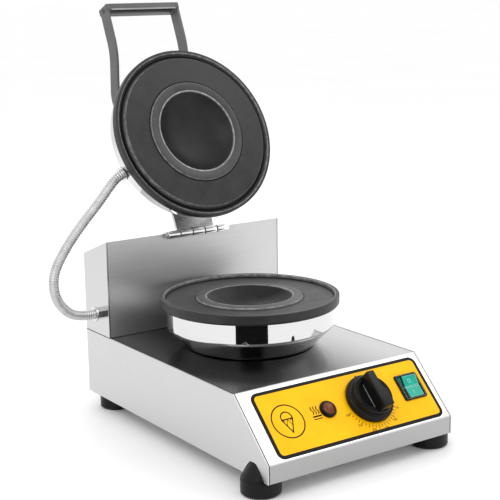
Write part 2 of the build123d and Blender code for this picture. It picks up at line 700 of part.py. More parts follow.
def hinge_leaf_fixed():
    """The hinge leaf on the housing's top, with the first, third and fifth knuckles."""
    half = HINGE_WIDTH / 2 - KNUCKLE_GAP
    leaf = block((-half, half), (-BARREL_OFFSET * TOP_COS, FIXED_LEAF_DEPTH), (0, LEAF_SHEET))
    leaf = TOP_PLANE.location * leaf
    for index in (1, 3):
        x = (index - 2) * KNUCKLE_LENGTH
        gap = Rot(0, 90, 0) * Cylinder(RELIEF_R, KNUCKLE_LENGTH + 2 * KNUCKLE_GAP)
        leaf -= Pos(x, HINGE_Y, HINGE_Z) * gap
    for index in (0, 2, 4):
        leaf += knuckle(index, PIN_R)
    leaf -= hinge_bore(PIN_R)
    for x in HINGE_SCREW_X:
        leaf -= TOP_PLANE.location * Pos(x, HINGE_SCREW_Y, 0) * Cylinder(HINGE_SCREW_R, 10)
    return leaf


def hinge_leaf_moving():
    """The hinge leaf under the lid's bracket, with the second and fourth knuckles; closed pose."""
    half = MOVING_WIDTH / 2 - KNUCKLE_GAP
    top = HINGE_Z + KNUCKLE_R
    leaf = block((-half, half), (HINGE_Y - MOVING_LEAF_DEPTH, HINGE_Y), (top - LEAF_SHEET, top))
    middle = Rot(0, 90, 0) * Cylinder(RELIEF_R, KNUCKLE_LENGTH + 2 * KNUCKLE_GAP)
    leaf -= Pos(0, HINGE_Y, HINGE_Z) * middle
    for index in (1, 3):
        leaf += knuckle(index, PIN_R + PIN_CLEARANCE)
    leaf -= hinge_bore(PIN_R + PIN_CLEARANCE)
    for x in (-17, 17):
        leaf -= disc(HINGE_SCREW_R, top - 5, top + 5, x, HINGE_Y - LEAF_SCREW_OFFSET)
    return leaf.rotate(HINGE_AXIS, -OPEN_ANGLE)


def hinge_pin():
    """The pin through all five knuckles, with a domed head at each end."""
    pin = Cylinder(PIN_R, HINGE_WIDTH)
    for sign in (-1, 1):
        pin += Pos(0, 0, sign * (HINGE_WIDTH / 2 + 0.6)) * Cylinder(KNUCKLE_R * 0.75, 1.2)
    return Pos(0, HINGE_Y, HINGE_Z) * Rot(0, 90, 0) * pin


def hinge_screws():
    """Three screws through the fixed leaf and the housing's top, each with a tall round head."""
    screws = []
    for x in HINGE_SCREW_X:
        one = screw(HINGE_SCREW_R, 8, 3.2, 2.6)
        screws.append(TOP_PLANE.location * Pos(x, HINGE_SCREW_Y, LEAF_SHEET) * one)
    return Compound(screws)


def bracket_screw_places():
    """Two screws that hold the bracket to the lid's back."""
    return [(-15.0, BRACKET_NEAR + 12.0), (15.0, BRACKET_NEAR + 12.0)]


def lid_bracket():
    """The strap that joins the hinge's moving leaf to the lid's back; closed pose."""
    y0 = BRACKET_NEAR
    y1 = HINGE_Y - PLATE_Y - BRACKET_END
    half = MOVING_WIDTH / 2 - KNUCKLE_GAP
    strap = block((-half, half), (y0, y1), (LID_HEIGHT, LID_HEIGHT + BRACKET_SHEET))
    corners = strap.edges().filter_by(Axis.Z).sort_by(Axis.Y)[:2]
    strap = fillet(corners, 8)
    places = bracket_screw_places() + leaf_screw_places()
    for x, y in places:
        strap -= disc(HINGE_SCREW_R, LID_HEIGHT - 1, LID_HEIGHT + 5, x, y)
    return strap


def leaf_screw_places():
    y = HINGE_Y - PLATE_Y - LEAF_SCREW_OFFSET
    return [(-17.0, y), (17.0, y)]


def bracket_screws():
    """Four screws through the bracket, two into the hinge leaf and two into the lid's back."""
    screws = []
    for x, y in bracket_screw_places():
        screws.append(Pos(x, y, LID_HEIGHT + BRACKET_SHEET) * screw(HINGE_SCREW_R, 8, 3.0, 1.8))
    for x, y in leaf_screw_places():
        screws.append(Pos(x, y, LID_HEIGHT + BRACKET_SHEET) * screw(HINGE_SCREW_R, 4, 3.0, 1.8))
    return Compound(screws)


# --- Handle, drawn on the closed lid ---
def foot_screw_places():
    """Two screws for each arm's foot."""
    x = ARM_X - ARM_FOOT_WIDTH / 2 + 1
    return [(sign * x, y) for sign in (-1, 1) for y in (-10.0, -38.0)]


def arm_bar():
    """The flat bar of the right arm, swept on edge along its bent path."""
    path = Plane.YZ * FilletPolyline(*ARM_PATH, radius=ARM_BENDS)
    section = Plane(origin=path @ 0, x_dir=(1, 0, 0), z_dir=path % 0) * Rectangle(ARM_SHEET, ARM_WIDTH)
    return Pos(ARM_X + ARM_SHEET / 2, 0, 0) * sweep(section, path=path)


def handle_arm(side):
    """A flat bar on edge that leaves the lid's back and drops forward to the grip."""
    foot_top = LID_HEIGHT + ARM_FOOT_SHEET
    outer = ARM_X + ARM_SHEET
    near, high = ARM_PATH[0]
    web = block((ARM_X, outer), (-ARM_FOOT_LENGTH, near), (LID_HEIGHT, high))
    foot = block((outer - ARM_FOOT_WIDTH, outer), (-ARM_FOOT_LENGTH, near + 12), (LID_HEIGHT, foot_top))
    arm = arm_bar() + web + foot
    for x, y in foot_screw_places():
        arm -= disc(HINGE_SCREW_R, LID_HEIGHT - 1, foot_top + 1, x, y)
    arm -= grip_screw_place(1) * Cylinder(GRIP_SCREW_R, 14)
    if side < 0:
        arm = mirror(arm, Plane.YZ)
    return arm


def grip_screw_place(side):
    """The middle of an arm's outer face where the grip's screw enters, with Z pointing outwards."""
    return Pos(side * (ARM_X + ARM_SHEET), -(GRIP_NEAR + 3), GRIP_Z) * Rot(0, side * 90, 0)


def handle_grip():
    """The moulded grip between the arms, with a groove along its underside and a seat for each arm's end."""
    half = ARM_X + ARM_SHEET
    z0, z1 = GRIP_Z - GRIP_DEPTH / 2, GRIP_Z + GRIP_DEPTH / 2
    grip = block((-half, half), (-GRIP_FAR, -GRIP_NEAR), (z0, z1))
    grip = fillet(grip.edges().filter_by(Axis.X), 2.0)
    grip -= block((-ARM_X + 2, ARM_X - 2), (-GRIP_NEAR - GRIP_GROOVE_DEPTH, -GRIP_NEAR + 1), GRIP_GROOVE)
    grip -= arm_bar()
    grip -= mirror(arm_bar(), Plane.YZ)
    for side in (-1, 1):
        grip -= grip_screw_place(side) * Cylinder(GRIP_SCREW_R, 24)
    return grip


def grip_screws():
    """One screw through each arm's end into the grip."""
    return Compound([grip_screw_place(side) * screw(GRIP_SCREW_R, 12, 2.6, 1.2) for side in (-1, 1)])


def handle_screws():
    """Four screws that hold the arms' feet to the lid's back."""
    place = LID_HEIGHT + ARM_FOOT_SHEET
    return Compound([Pos(x, y, place) * screw(HINGE_SCREW_R, 8, 3.0, 1.8) for x, y in foot_screw_places()])


# --- Feet ---
def front_foot(side):
    """A tall rubber foot that stands partly outside the case and tapers up inside it."""
    foot = foot_profile(0) - disc(FOOT_SCREW_R, 6, 40) - disc(6, -1, 6)
    return Pos(side * FRONT_FOOT_X, FRONT_FOOT_Y, 0) * foot


def rear_foot(side):
    """A short rubber foot under the bottom plate."""
    top = CASE_Z
    points = [(6, 0), (FOOT_R - 3, 0), (FOOT_R - 1, 2), (FOOT_R - 1, top), (0, top), (0, 6), (6, 6)]
    foot = turned_outline(points) - disc(FOOT_SCREW_R, 5, top + 1)
    return Pos(side * REAR_FOOT_X, REAR_FOOT_Y, 0) * foot


def foot_brackets():
    """Two angle plates inside the case that the front feet are screwed to."""
    brackets = []
    for side in (-1, 1):
        x = sorted((side * INNER_X, side * (INNER_X - 30)))
        wall = sorted((side * INNER_X, side * (INNER_X - BRACKET_PLATE)))
        y = (FRONT_FOOT_Y - 14, FRONT_FOOT_Y + 16)
        plate = block(x, y, (34, 34 + BRACKET_PLATE)) + block(wall, (FRONT_FOOT_Y, y[1]), (34, 44))
        plate -= disc(FOOT_SCREW_R, 30, 40, side * FRONT_FOOT_X, FRONT_FOOT_Y)
        brackets.append(plate)
    return Compound(brackets)


def foot_screws():
    """A screw up through each foot."""
    screws = []
    for side in (-1, 1):
        front = Pos(side * FRONT_FOOT_X, FRONT_FOOT_Y, 0) * (disc(4.5, 3.2, 6) + disc(FOOT_SCREW_R, 6, 39))
        rear_top = CASE_Z + 2 * SHEET + 4
        rear = Pos(side * REAR_FOOT_X, REAR_FOOT_Y, 0) * (disc(4.5, 3.2, 6) + disc(FOOT_SCREW_R, 6, rear_top))
        screws += [front, rear]
    return Compound(screws)


# --- Inside the rear housing ---
def terminal_block():
    """A ceramic terminal block standing on the deck beside the wiring slot."""
    y0 = HOUSING_Y + SHEET + 2
    base = block((20, 70), (y0, y0 + 18), (DECK_Z, DECK_Z + 16))
    for i in range(4):
        base -= disc(2.2, DECK_Z + 8, DECK_Z + 20, 27 + 12 * i, y0 + 9)
    return base - block((0, 90), (y0 + 11, y0 + 30), (DECK_Z + 12, DECK_Z + 20))


def mains_gland():
    """The cable gland for the mains lead, through the housing's back."""
    body = disc(MAINS_R, -6, 8) + hexagon_bar(20, 0, 5) + turned_outline([(0, 8), (MAINS_R, 8), (6.2, 16), (0, 16)])
    body += hexagon_bar(20, -SHEET - 4.5, -SHEET)
    body -= disc(MAINS_BORE_R, -20, 30)
    return Pos(MAINS_X, REAR_Y, MAINS_Z) * Rot(-90, 0, 0) * body


# --- Conduit and its glands ---
def gland_body(hex_length):
    """A gland about its own Z: a stub through the wall at Z = 0, a hexagon and an end flange."""
    body = disc(GLAND_STUB_R, -9, 0.05) + hexagon_bar(GLAND_HEX, 0.05, hex_length)
    body += disc(GLAND_FLANGE_R, hex_length, hex_length + GLAND_FLANGE)
    return body - disc(GLAND_BORE_R, -10, hex_length - 1)


def gland_locknut(wall):
    """The locknut inside the wall."""
    return hexagon_bar(LOCKNUT_FLATS, -wall - 4, -wall) - disc(GLAND_STUB_R, -20, 5)


def lower_gland_place():
    return Plane(origin=(-SIDE_X, LOWER_GLAND_Y, LOWER_GLAND_Z), x_dir=(0, 0, 1), z_dir=(-1, 0, 0))


def conduit_route():
    """The conduit's route from the lid's gland to the housing's gland, straight out of each."""
    route = []
    for distance in (0.0, CONDUIT_LEAD):
        place = Pos(0, 0, UPPER_HEX_LENGTH + GLAND_FLANGE + distance) * Vertex(0, 0, 0)
        route.append(tuple(open_lid(upper_gland_place().location * place).center()))
    route += CONDUIT_MIDDLE
    finish_x = -SIDE_X - LOWER_HEX_LENGTH - GLAND_FLANGE
    for distance in (CONDUIT_TAIL, 0.0):
        route.append((finish_x - distance, LOWER_GLAND_Y, LOWER_GLAND_Z))
    return route


def bend_radii(route):
    """The largest bend radius that suits each inner point of a route."""
    radii = []
    for before, here, after in zip(route, route[1:], route[2:]):
        into = Vector(*here) - Vector(*before)
        out = Vector(*after) - Vector(*here)
        half_turn = math.radians(into.get_angle(out)) / 2
        radii.append(0.45 * min(into.length, out.length) / math.tan(half_turn))
    return radii


def conduit():
    """The flexible metal conduit, as a plain tube of its outer diameter."""
    route = conduit_route()
    radii = bend_radii(route)
    path = FilletPolyline(*route, radius=radii)
    section = Plane(origin=path @ 0, z_dir=path % 0) * Circle(CONDUIT_R)
    tube = sweep(section, path=path)
    print("conduit route", [tuple(round(v, 1) for v in p) for p in route])
    print("conduit radii", [round(r, 1) for r in radii], "length", round(path.length, 1))
    print("conduit volume", round(tube.volume), "section x length", round(math.pi * CONDUIT_R**2 * path.length))
    return tube


def stack(sign, height, plate_back):
    """The heating stack of one plate: element, clamp ring, wool, studs and nuts, going up or down."""
    element_z = plate_back + ELEMENT_TUBE_R
    clamp_z = plate_back + 2 * ELEMENT_TUBE_R
    wool_z = clamp_z + CLAMP_SHEET + WOOL_GAP
    outside = height + (SHEET if sign < 0 else 0.0)
    pieces = {
        "element": heating_element(element_z),
        "clamp_ring": clamp_ring(clamp_z, clamp_z + CLAMP_SHEET),
        "insulation": wool_pad(wool_z, wool_z + WOOL_THICKNESS),
        "studs": studs(plate_back, outside + NUT_HEIGHT + 1),
        "stud_nuts": stud_nuts(outside, outside + NUT_HEIGHT),
    }
    if sign < 0:
        pieces = {name: mirror(piece, Plane.XY) for name, piece in pieces.items()}
    return pieces


def build():
    """Every sub-part by its name, in the open rest pose."""
    parts = {
        "deck_wrap": deck_wrap(),
        "side_panel_left": side_panel(-1),
        "side_panel_right": side_panel(1),
        "rear_panel": rear_panel(),
        "bottom_plate": bottom_plate(),
        "housing_shell": housing_shell(),
        "housing_front": housing_front(),
        "housing_top": housing_top(),
        "fascia_label": fascia_label(),
        "thermostat_body": thermostat_body(),
        "thermostat_shaft": thermostat_shaft(),
        "knob": knob(),
        "knob_pointer": knob_pointer(),
        "pilot_bezel": pilot_bezel(),
        "pilot_lens": pilot_lens(),
        "pilot_lamp": pilot_lamp(),
        "switch_case": switch_case(),
        "switch_rocker": switch_rocker(),
        "hinge_leaf_fixed": hinge_leaf_fixed(),
        "hinge_leaf_moving": hinge_leaf_moving(),
        "hinge_pin": hinge_pin(),
        "hinge_screws": hinge_screws(),
        "foot_front_left": front_foot(-1),
        "foot_front_right": front_foot(1),
        "foot_rear_left": rear_foot(-1),
        "foot_rear_right": rear_foot(1),
        "foot_brackets": foot_brackets(),
        "foot_screws": foot_screws(),
        "terminal_block": terminal_block(),
        "mains_gland": mains_gland(),
        "conduit": conduit(),
        "conduit_gland_lower": lower_gland_place().location * gland_body(LOWER_HEX_LENGTH),
        "conduit_locknut_lower": lower_gland_place().location * gland_locknut(SHEET),
    }
    lower_back = FIELD_DROP + PLATE_THICKNESS
    lower = {
        "lower_plate": lower_plate(),
        "lower_shell": lower_shell(),
        "thermostat_bulb": sensor_bulb(-lower_back - BULB_R),
    }
    for name, piece in stack(-1, LOWER_HEIGHT, lower_back).items():
        lower["lower_" + name] = piece
    for name, piece in lower.items():
        parts[name] = LOWER_PLANE.location * piece
    upper_back = PLATE_THICKNESS + 3 - UPPER_FIELD_RISE + 2
    lid = {
        "upper_plate": upper_plate(),
        "upper_shell": upper_shell(),
        "lid_bracket": lid_bracket(),
        "bracket_screws": bracket_screws(),
        "handle_arm_left": handle_arm(-1),
        "handle_arm_right": handle_arm(1),
        "handle_grip": handle_grip(),
        "handle_screws": handle_screws(),
        "grip_screws": grip_screws(),
        "conduit_gland_upper": upper_gland_place().location * gland_body(UPPER_HEX_LENGTH),
        "conduit_locknut_upper": upper_gland_place().location * gland_locknut(SHELL_SHEET + 0.4),
    }
    for name, piece in stack(1, LID_HEIGHT, upper_back).items():
        lid["upper_" + name] = piece
    for name, piece in lid.items():
        parts[name] = open_lid(piece)
    return parts


def main():
    os.makedirs("parts", exist_ok=True)
    for name, part in build().items():
        export_step(part, f"parts/{name}.step")


main()
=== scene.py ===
"""Looks for the cone and bun press: materials on the CAD nodes, and the pieces that need a finer mesh."""

import json
import math

import bmesh
import bpy
from mathutils import Matrix, Vector


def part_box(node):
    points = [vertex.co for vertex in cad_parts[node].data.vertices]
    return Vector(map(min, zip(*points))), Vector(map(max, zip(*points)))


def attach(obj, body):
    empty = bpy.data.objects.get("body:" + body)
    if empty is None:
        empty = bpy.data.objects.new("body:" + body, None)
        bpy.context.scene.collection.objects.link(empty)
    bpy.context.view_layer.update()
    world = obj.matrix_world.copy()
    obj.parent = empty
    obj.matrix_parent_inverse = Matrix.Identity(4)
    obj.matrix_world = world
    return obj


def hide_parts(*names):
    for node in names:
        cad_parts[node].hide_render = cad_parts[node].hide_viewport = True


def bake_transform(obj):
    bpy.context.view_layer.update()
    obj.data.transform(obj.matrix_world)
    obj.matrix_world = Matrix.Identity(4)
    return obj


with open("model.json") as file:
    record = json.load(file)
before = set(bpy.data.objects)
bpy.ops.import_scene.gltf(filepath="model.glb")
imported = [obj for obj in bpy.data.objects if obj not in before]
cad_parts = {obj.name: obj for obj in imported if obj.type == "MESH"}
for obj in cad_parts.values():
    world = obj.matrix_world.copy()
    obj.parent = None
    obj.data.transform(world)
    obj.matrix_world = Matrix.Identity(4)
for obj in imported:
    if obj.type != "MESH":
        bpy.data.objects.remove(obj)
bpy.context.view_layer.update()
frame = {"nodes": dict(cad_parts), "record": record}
NODES = frame["nodes"]
JOINTS = {joint["name"]: joint for joint in frame["record"]["behaviour"]["joints"]}
MM = 0.001

# --- Camera ---
CAMERA_PLACE = (-0.7643, -1.1234, 0.4828)
CAMERA_AZIMUTH = -34.665
CAMERA_ELEVATION = 11.896
CAMERA_ROLL = -0.922
CAMERA_LENS = 89.06
SENSOR = 36.0

# --- The conduit's route, from the lid's gland to the housing's gland ---
CONDUIT_ROUTE = [
    (-0.0963, 0.0938, 0.2811),
    (-0.1029, 0.0928, 0.2789),
    (-0.1120, 0.0924, 0.2705),
    (-0.1260, 0.0940, 0.2530),
    (-0.1480, 0.0953, 0.2305),
    (-0.1695, 0.0967, 0.2045),
    (-0.1855, 0.0980, 0.1770),
    (-0.1835, 0.0995, 0.1500),
    (-0.1700, 0.1007, 0.1315),
    (-0.1530, 0.1010, 0.1235),
    (-0.1350, 0.1010, 0.1235),
]
CONDUIT_DIAMETER = 11.5 * MM
RIB_PITCH = 2.8 * MM
RIB_DEPTH = 0.75 * MM
RIB_RINGS = 6  # rings of points to one turn of the rib
GROOVE_POWER = 5  # a higher power makes a narrower groove
CONDUIT_SIDES = 28


def make_camera():
    """The camera, turned to look from the front left, a little above the machine."""
    azimuth, elevation, roll = (math.radians(v) for v in (CAMERA_AZIMUTH, CAMERA_ELEVATION, CAMERA_ROLL))
    flat = math.cos(elevation)
    back = Vector((math.sin(azimuth) * flat, -math.cos(azimuth) * flat, math.sin(elevation)))
    right = Vector((0, 0, 1)).cross(back).normalized()
    up = back.cross(right)
    across = right * math.cos(roll) + up * math.sin(roll)
    upright = up * math.cos(roll) - right * math.sin(roll)
    data = bpy.data.cameras.new("camera")
    data.lens = CAMERA_LENS
    data.sensor_width = SENSOR
    camera = add_object("camera", data)
    turn = Matrix((across, upright, back)).transposed().to_4x4()
    camera.matrix_world = Matrix.Translation(CAMERA_PLACE) @ turn
    bpy.context.scene.camera = camera


def add_object(name, data):
    """An object in the scene."""
    made = bpy.data.objects.new(name, data)
    bpy.context.scene.collection.objects.link(made)
    return made


def mesh_from_curve(name, data):
    """A curve's mesh, made through an object that is then removed."""
    holder = add_object(name, data)
    mesh = bpy.data.meshes.new_from_object(holder)
    bpy.data.objects.remove(holder)
    return mesh


# --- Mesh helpers ---
# A rounded corner takes at most 1 / CORNER_SHARE of each of its two sides.
CORNER_SHARE = 2.2
# A prism's edge is softened in two steps; the middle one is at this share of the edge.
SOFT_STEP = 0.3


def metres(points):
    """Points given in mm, in metres."""
    return [(x * MM, y * MM) for x, y in points]


def new_object(name, bm, material, smooth=True, sharp_angle=35.0):
    """An object from a bmesh, smooth-shaded up to a sharp angle."""
    bmesh.ops.remove_doubles(bm, verts=bm.verts, dist=1e-7)
    bmesh.ops.recalc_face_normals(bm, faces=bm.faces)
    mesh = bpy.data.meshes.new(name)
    bm.to_mesh(mesh)
    bm.free()
    if smooth:
        mesh.shade_smooth()
        mesh.set_sharp_from_angle(angle=math.radians(sharp_angle))
    mesh.materials.append(material)
    return add_object(name, mesh)


def add_rings(bm, rings):
    """Quads between closed rings of points, with flat caps."""
    made = [[bm.verts.new(p) for p in ring] for ring in rings]
    count = len(made[0])
    for low, high in zip(made, made[1:]):
        for i in range(count):
            j = (i + 1) % count
            bm.faces.new((low[i], low[j], high[j], high[i]))
    bm.faces.new(list(reversed(made[0])))
    bm.faces.new(made[-1])


def add_lathe(bm, profile, place, sides):
    """A solid turned about the Z axis of a place, from a profile of radius and height."""
    rings = []
    for radius, height in profile:
        ring = []
        for i in range(sides):
            turn = 2 * math.pi * i / sides
            ring.append(place @ Vector((radius * math.cos(turn), radius * math.sin(turn), height)))
        rings.append(ring)
    add_rings(bm, rings)


def rounded_corner(before, here, after, radius, steps):
    """Points on the curve that takes a corner's place."""
    reach = min(radius, (before - here).length / CORNER_SHARE, (after - here).length / CORNER_SHARE)
    start = here + (before - here).normalized() * reach
    end = here + (after - here).normalized() * reach
    curve = []
    for i in range(steps + 1):
        t = i / steps
        curve.append(start * (1 - t) ** 2 + here * (2 * t * (1 - t)) + end * t**2)
    return curve


def rounded_profile(points, radius, steps=4):
    """An open profile whose corners, apart from its two ends, are rounded by up to a radius."""
    points = [Vector(p) for p in points]
    result = [points[0]]
    for before, here, after in zip(points, points[1:], points[2:]):
        result += rounded_corner(before, here, after, radius, steps)
    result.append(points[-1])
    return [(p.x, p.y) for p in result]


def arc_points(cx, cy, radius, start, end, steps):
    """Points on an arc, with angles in degrees anticlockwise from +X."""
    points = []
    for i in range(steps + 1):
        turn = math.radians(start + (end - start) * i / steps)
        points.append((cx + radius * math.cos(turn), cy + radius * math.sin(turn)))
    return points


def circle_points(radius, count):
    """Points spaced evenly round the origin."""
    return arc_points(0, 0, radius, 0, 360 - 360 / count, count - 1)


def rounded_rectangle(width, height, radius, steps=8):
    """The outline of a rectangle with round corners, centred on the origin."""
    outline = []
    for sx, sy, start in ((1, 1, 0), (-1, 1, 90), (-1, -1, 180), (1, -1, 270)):
        cx = sx * (width / 2 - radius)
        cy = sy * (height / 2 - radius)
        outline += arc_points(cx, cy, radius, start, start + 90, steps)
    return outline


def add_print(bm, place, outline, low, high, hole=None):
    """A thin flat print between two heights, from an outline and an optional matching hole."""
    def ring(points, z):
        """New vertices on an outline at one height."""
        return [bm.verts.new(place @ Vector((x, y, z))) for x, y in points]

    outer_low, outer_high = ring(outline, low), ring(outline, high)
    count = len(outline)
    pairs = [(outer_low, outer_high)]
    if hole:
        inner_low, inner_high = ring(hole, low), ring(hole, high)
        pairs += [(outer_high, inner_high), (inner_high, inner_low), (inner_low, outer_low)]
    else:
        bm.faces.new(outer_high)
        bm.faces.new(list(reversed(outer_low)))
    for a, b in pairs:
        for i in range(count):
            j = (i + 1) % count
            bm.faces.new((a[i], a[j], b[j], b[i]))


def round_corners(outline, radius, steps=5):
    """A closed outline with every corner rounded by up to a radius."""
    points = [Vector(p) for p in outline]
    result = []
    for i, here in enumerate(points):
        result += rounded_corner(points[i - 1], here, points[(i + 1) % len(points)], radius, steps)
    return [(p.x, p.y) for p in result]


def inset(outline, amount):
    """An anticlockwise outline moved inwards."""
    points = [Vector(p) for p in outline]
    moved = []
    for i, here in enumerate(points):
        along = (points[(i + 1) % len(points)] - points[i - 1]).normalized()
        moved.append((here.x - along.y * amount, here.y + along.x * amount))
    return moved


def add_prism(bm, place, outline, low, high, edge):
    """A prism on an anticlockwise outline, with a softened edge at both ends."""
    rings = []
    step = edge * SOFT_STEP
    levels = [(low, edge), (low + step, step), (low + edge, 0)]
    levels += [(high - edge, 0), (high - step, step), (high, edge)]
    for height, shrink in levels:
        shape = inset(outline, shrink) if shrink else outline
        rings.append([place @ Vector((x, y, height)) for x, y in shape])
    add_rings(bm, rings)


def add_tube(bm, points, radius, sides=12):
    """A tube in straight runs through points."""
    for a, b in zip(points, points[1:]):
        a, b = Vector(a), Vector(b)
        along = (b - a).normalized()
        side = along.orthogonal().normalized()
        other = along.cross(side)
        rings = []
        for end in (a, b):
            ring = []
            for k in range(sides):
                turn = 2 * math.pi * k / sides
                ring.append(end + (side * math.cos(turn) + other * math.sin(turn)) * radius)
            rings.append(ring)
        add_rings(bm, rings)


# --- Material helpers ---
# Most of a noise's values lie between these two.
NOISE_LOW = 0.3
NOISE_HIGH = 0.7


def add_node(tree, kind, **values):
    """A shader node; names with a capital set inputs, and the others set properties."""
    made = tree.nodes.new("ShaderNode" + kind)
    for key, value in values.items():
        if key[0].isupper():
            made.inputs[key.replace("_", " ")].default_value = value
        else:
            setattr(made, key, value)
    return made


def finish_surface(tree, shader, colour, roughness):
    """Link a shader's colour and roughness."""
    tree.links.new(colour, shader.inputs["Base Color"])
    tree.links.new(roughness, shader.inputs["Roughness"])


def new_material(name, **values):
    """A material and its Principled shader, with constant values on its sockets."""
    material = bpy.data.materials.new(name)
    material.use_nodes = True
    shader = material.node_tree.nodes["Principled BSDF"]
    for key, value in values.items():
        shader.inputs[key.replace("_", " ")].default_value = value
    return material, material.node_tree, shader


def object_coordinates(tree, scale=(1, 1, 1), rotation=(0, 0, 0), location=(0, 0, 0)):
    """Object coordinates through a Mapping node."""
    source = add_node(tree, "TexCoord")
    mapping = add_node(tree, "Mapping", Scale=scale, Rotation=rotation, Location=location)
    tree.links.new(source.outputs["Object"], mapping.inputs["Vector"])
    return mapping.outputs["Vector"]


def place_coordinates(tree, place):
    """Object coordinates, turned and moved into a place's own frame."""
    turned = place.to_3x3().transposed()
    offset = -(turned @ place.translation)
    return object_coordinates(tree, rotation=turned.to_euler(), location=offset)


def noise(tree, vector, scale, detail=4.0, roughness=0.6):
    """A noise value over a vector."""
    made = add_node(tree, "TexNoise", Scale=scale, Detail=detail, Roughness=roughness)
    tree.links.new(vector, made.inputs["Vector"])
    return made.outputs["Fac"]


def calculate(tree, operation, *values):
    """The result of a Math node on sockets and plain numbers."""
    made = add_node(tree, "Math", operation=operation)
    for socket, value in zip(made.inputs, values):
        if isinstance(value, float):
            socket.default_value = value
        else:
            tree.links.new(value, socket)
    return made.outputs[0]


def axes(tree, vector):
    """The X, Y and Z of a vector."""
    split = add_node(tree, "SeparateXYZ")
    tree.links.new(vector, split.inputs[0])
    return split.outputs["X"], split.outputs["Y"], split.outputs["Z"]


def colour_ramp(tree, factor, stops):
    """A colour ramp through (position, colour) stops."""
    ramp = add_node(tree, "ValToRGB")
    elements = ramp.color_ramp.elements
    while len(elements) < len(stops):
        elements.new(0.5)
    for element, (position, colour) in zip(elements, stops):
        element.position = position
        element.color = (*colour, 1.0)
    tree.links.new(factor, ramp.inputs["Fac"])
    return ramp.outputs["Color"]


def tones(tree, factor, dark, light):
    """A colour between two, over the middle part of a noise's range."""
    return colour_ramp(tree, factor, [(NOISE_LOW, dark), (NOISE_HIGH, light)])


def remap(tree, factor, low, high, from_low=NOISE_LOW, from_high=NOISE_HIGH, curve="LINEAR"):
    """A value taken from one range to another, and kept inside it."""
    made = add_node(tree, "MapRange", interpolation_type=curve,
                    From_Min=from_low, From_Max=from_high, To_Min=low, To_Max=high)
    tree.links.new(factor, made.inputs["Value"])
    return made.outputs["Result"]


def bump(tree, shader, factor, strength, distance):
    """Fine relief from a value; the distance is its depth in metres."""
    made = add_node(tree, "Bump", Strength=strength, Distance=distance)
    tree.links.new(factor, made.inputs["Height"])
    tree.links.new(made.outputs["Normal"], shader.inputs["Normal"])


def grey(value):
    """A neutral colour."""
    return (value, value, value)


# --- Materials ---
GRAIN_DEPTH = 0.05 * MM
SMUDGES = (14.0, 3.0, 0.5)  # scale, detail and roughness of the noise that smudges sheet steel
LONG_GRAIN = (12, 700, 700)


def brushed_steel(name, dark, light, rough, stretch, relief=0.12):
    """Sheet steel with a grain drawn out along one axis and faint cloudy smudges."""
    material, tree, shader = new_material(name, Metallic=1.0, Anisotropic=0.35)
    grain = noise(tree, object_coordinates(tree, scale=stretch), 1.0, 3.0, 0.65)
    clouds = noise(tree, object_coordinates(tree), *SMUDGES)
    mixed = calculate(tree, "MULTIPLY_ADD", grain, 0.5, clouds)
    colour = tones(tree, grain, grey(dark), grey(light))
    finish_surface(tree, shader, colour, remap(tree, mixed, *rough, 0.5, 1.0))
    bump(tree, shader, grain, relief, GRAIN_DEPTH)
    return material


# The deck's painted reflection runs from dark on the left to light on the right; the slope is painted at
# the light end.
DECK_DARK = 0.12
DECK_LIGHT = 0.62
DECK_SHADE_X = (-20.0 * MM, 115.0 * MM)  # darkest and lightest place across the deck
DECK_START_Y = (-160.0 * MM, -155.0 * MM)  # the fold between the slope and the deck
LIP_Y = (-215.6 * MM, -215.0 * MM)  # the fold between the lip's face and the slope
# The lip's face is painted dimmer than the slope, as painted shade.
LIP_PAINTED_SHADE = 0.55


def shaded_deck():
    """The folded sheet, with painted light and shade: the slope is light, the lip dimmer, and the deck
    darker towards the left.

    The real deck reflects dark things there, and this tint is a painted reflection of them.
    """
    material, tree, shader = new_material("deck_steel", Metallic=1.0, Anisotropic=0.3)
    x, y, _ = axes(tree, object_coordinates(tree))
    across = remap(tree, x, 0.0, 1.0, *DECK_SHADE_X, curve="SMOOTHSTEP")
    off_deck = remap(tree, y, 1.0, 0.0, *DECK_START_Y)
    behind_lip = remap(tree, y, 0.0, 1.0, *LIP_Y)
    lip = remap(tree, y, LIP_PAINTED_SHADE, 1.0, *LIP_Y)
    deck = calculate(tree, "MULTIPLY", across, behind_lip)
    front = calculate(tree, "MULTIPLY", off_deck, lip)
    tone = calculate(tree, "MAXIMUM", deck, front)
    grain = noise(tree, object_coordinates(tree, scale=(12, 800, 800)), 1.0, 3.0, 0.65)
    grained = calculate(tree, "MULTIPLY_ADD", grain, 0.06, tone)
    colour = colour_ramp(tree, grained, [(0.0, grey(DECK_DARK)), (1.0, grey(DECK_LIGHT))])
    clouds = noise(tree, object_coordinates(tree), *SMUDGES)
    finish_surface(tree, shader, colour, remap(tree, clouds, 0.15, 0.21))
    bump(tree, shader, grain, 0.04, GRAIN_DEPTH)
    return material


def polished_steel(name, place):
    """Mirror-polished spun steel with faint turning lines round its axis."""
    material, tree, shader = new_material(name, Metallic=1.0)
    vector = place_coordinates(tree, place)
    height = axes(tree, vector)[2]
    lines = add_node(tree, "CombineXYZ", X=0.0, Y=0.0)
    tree.links.new(height, lines.inputs["Z"])
    spin = noise(tree, lines.outputs[0], 900.0, 2.0, 0.5)
    smudge = noise(tree, vector, 18.0, 3.0, 0.55)
    colour = tones(tree, spin, grey(0.66), grey(0.74))
    finish_surface(tree, shader, colour, remap(tree, smudge, 0.025, 0.06))
    bump(tree, shader, spin, 0.03, 0.02 * MM)
    return material


# Painted shade makes the plates' bowl darker than the flat part, and painted light makes the raised ring's
# top paler.
BOWL_PAINTED_SHADE = 0.42
BOWL_EDGE = (47.2 * MM, 48.6 * MM)
RING_PAINTED_LIGHT = 1.55
RING_EDGE = (59.0 * MM, 60.2 * MM)
COATING_GLOSS = 0.35
# Sockets of a Mix node in its colour mode.
MIX_A = 6
MIX_B = 7
MIX_RESULT = 2


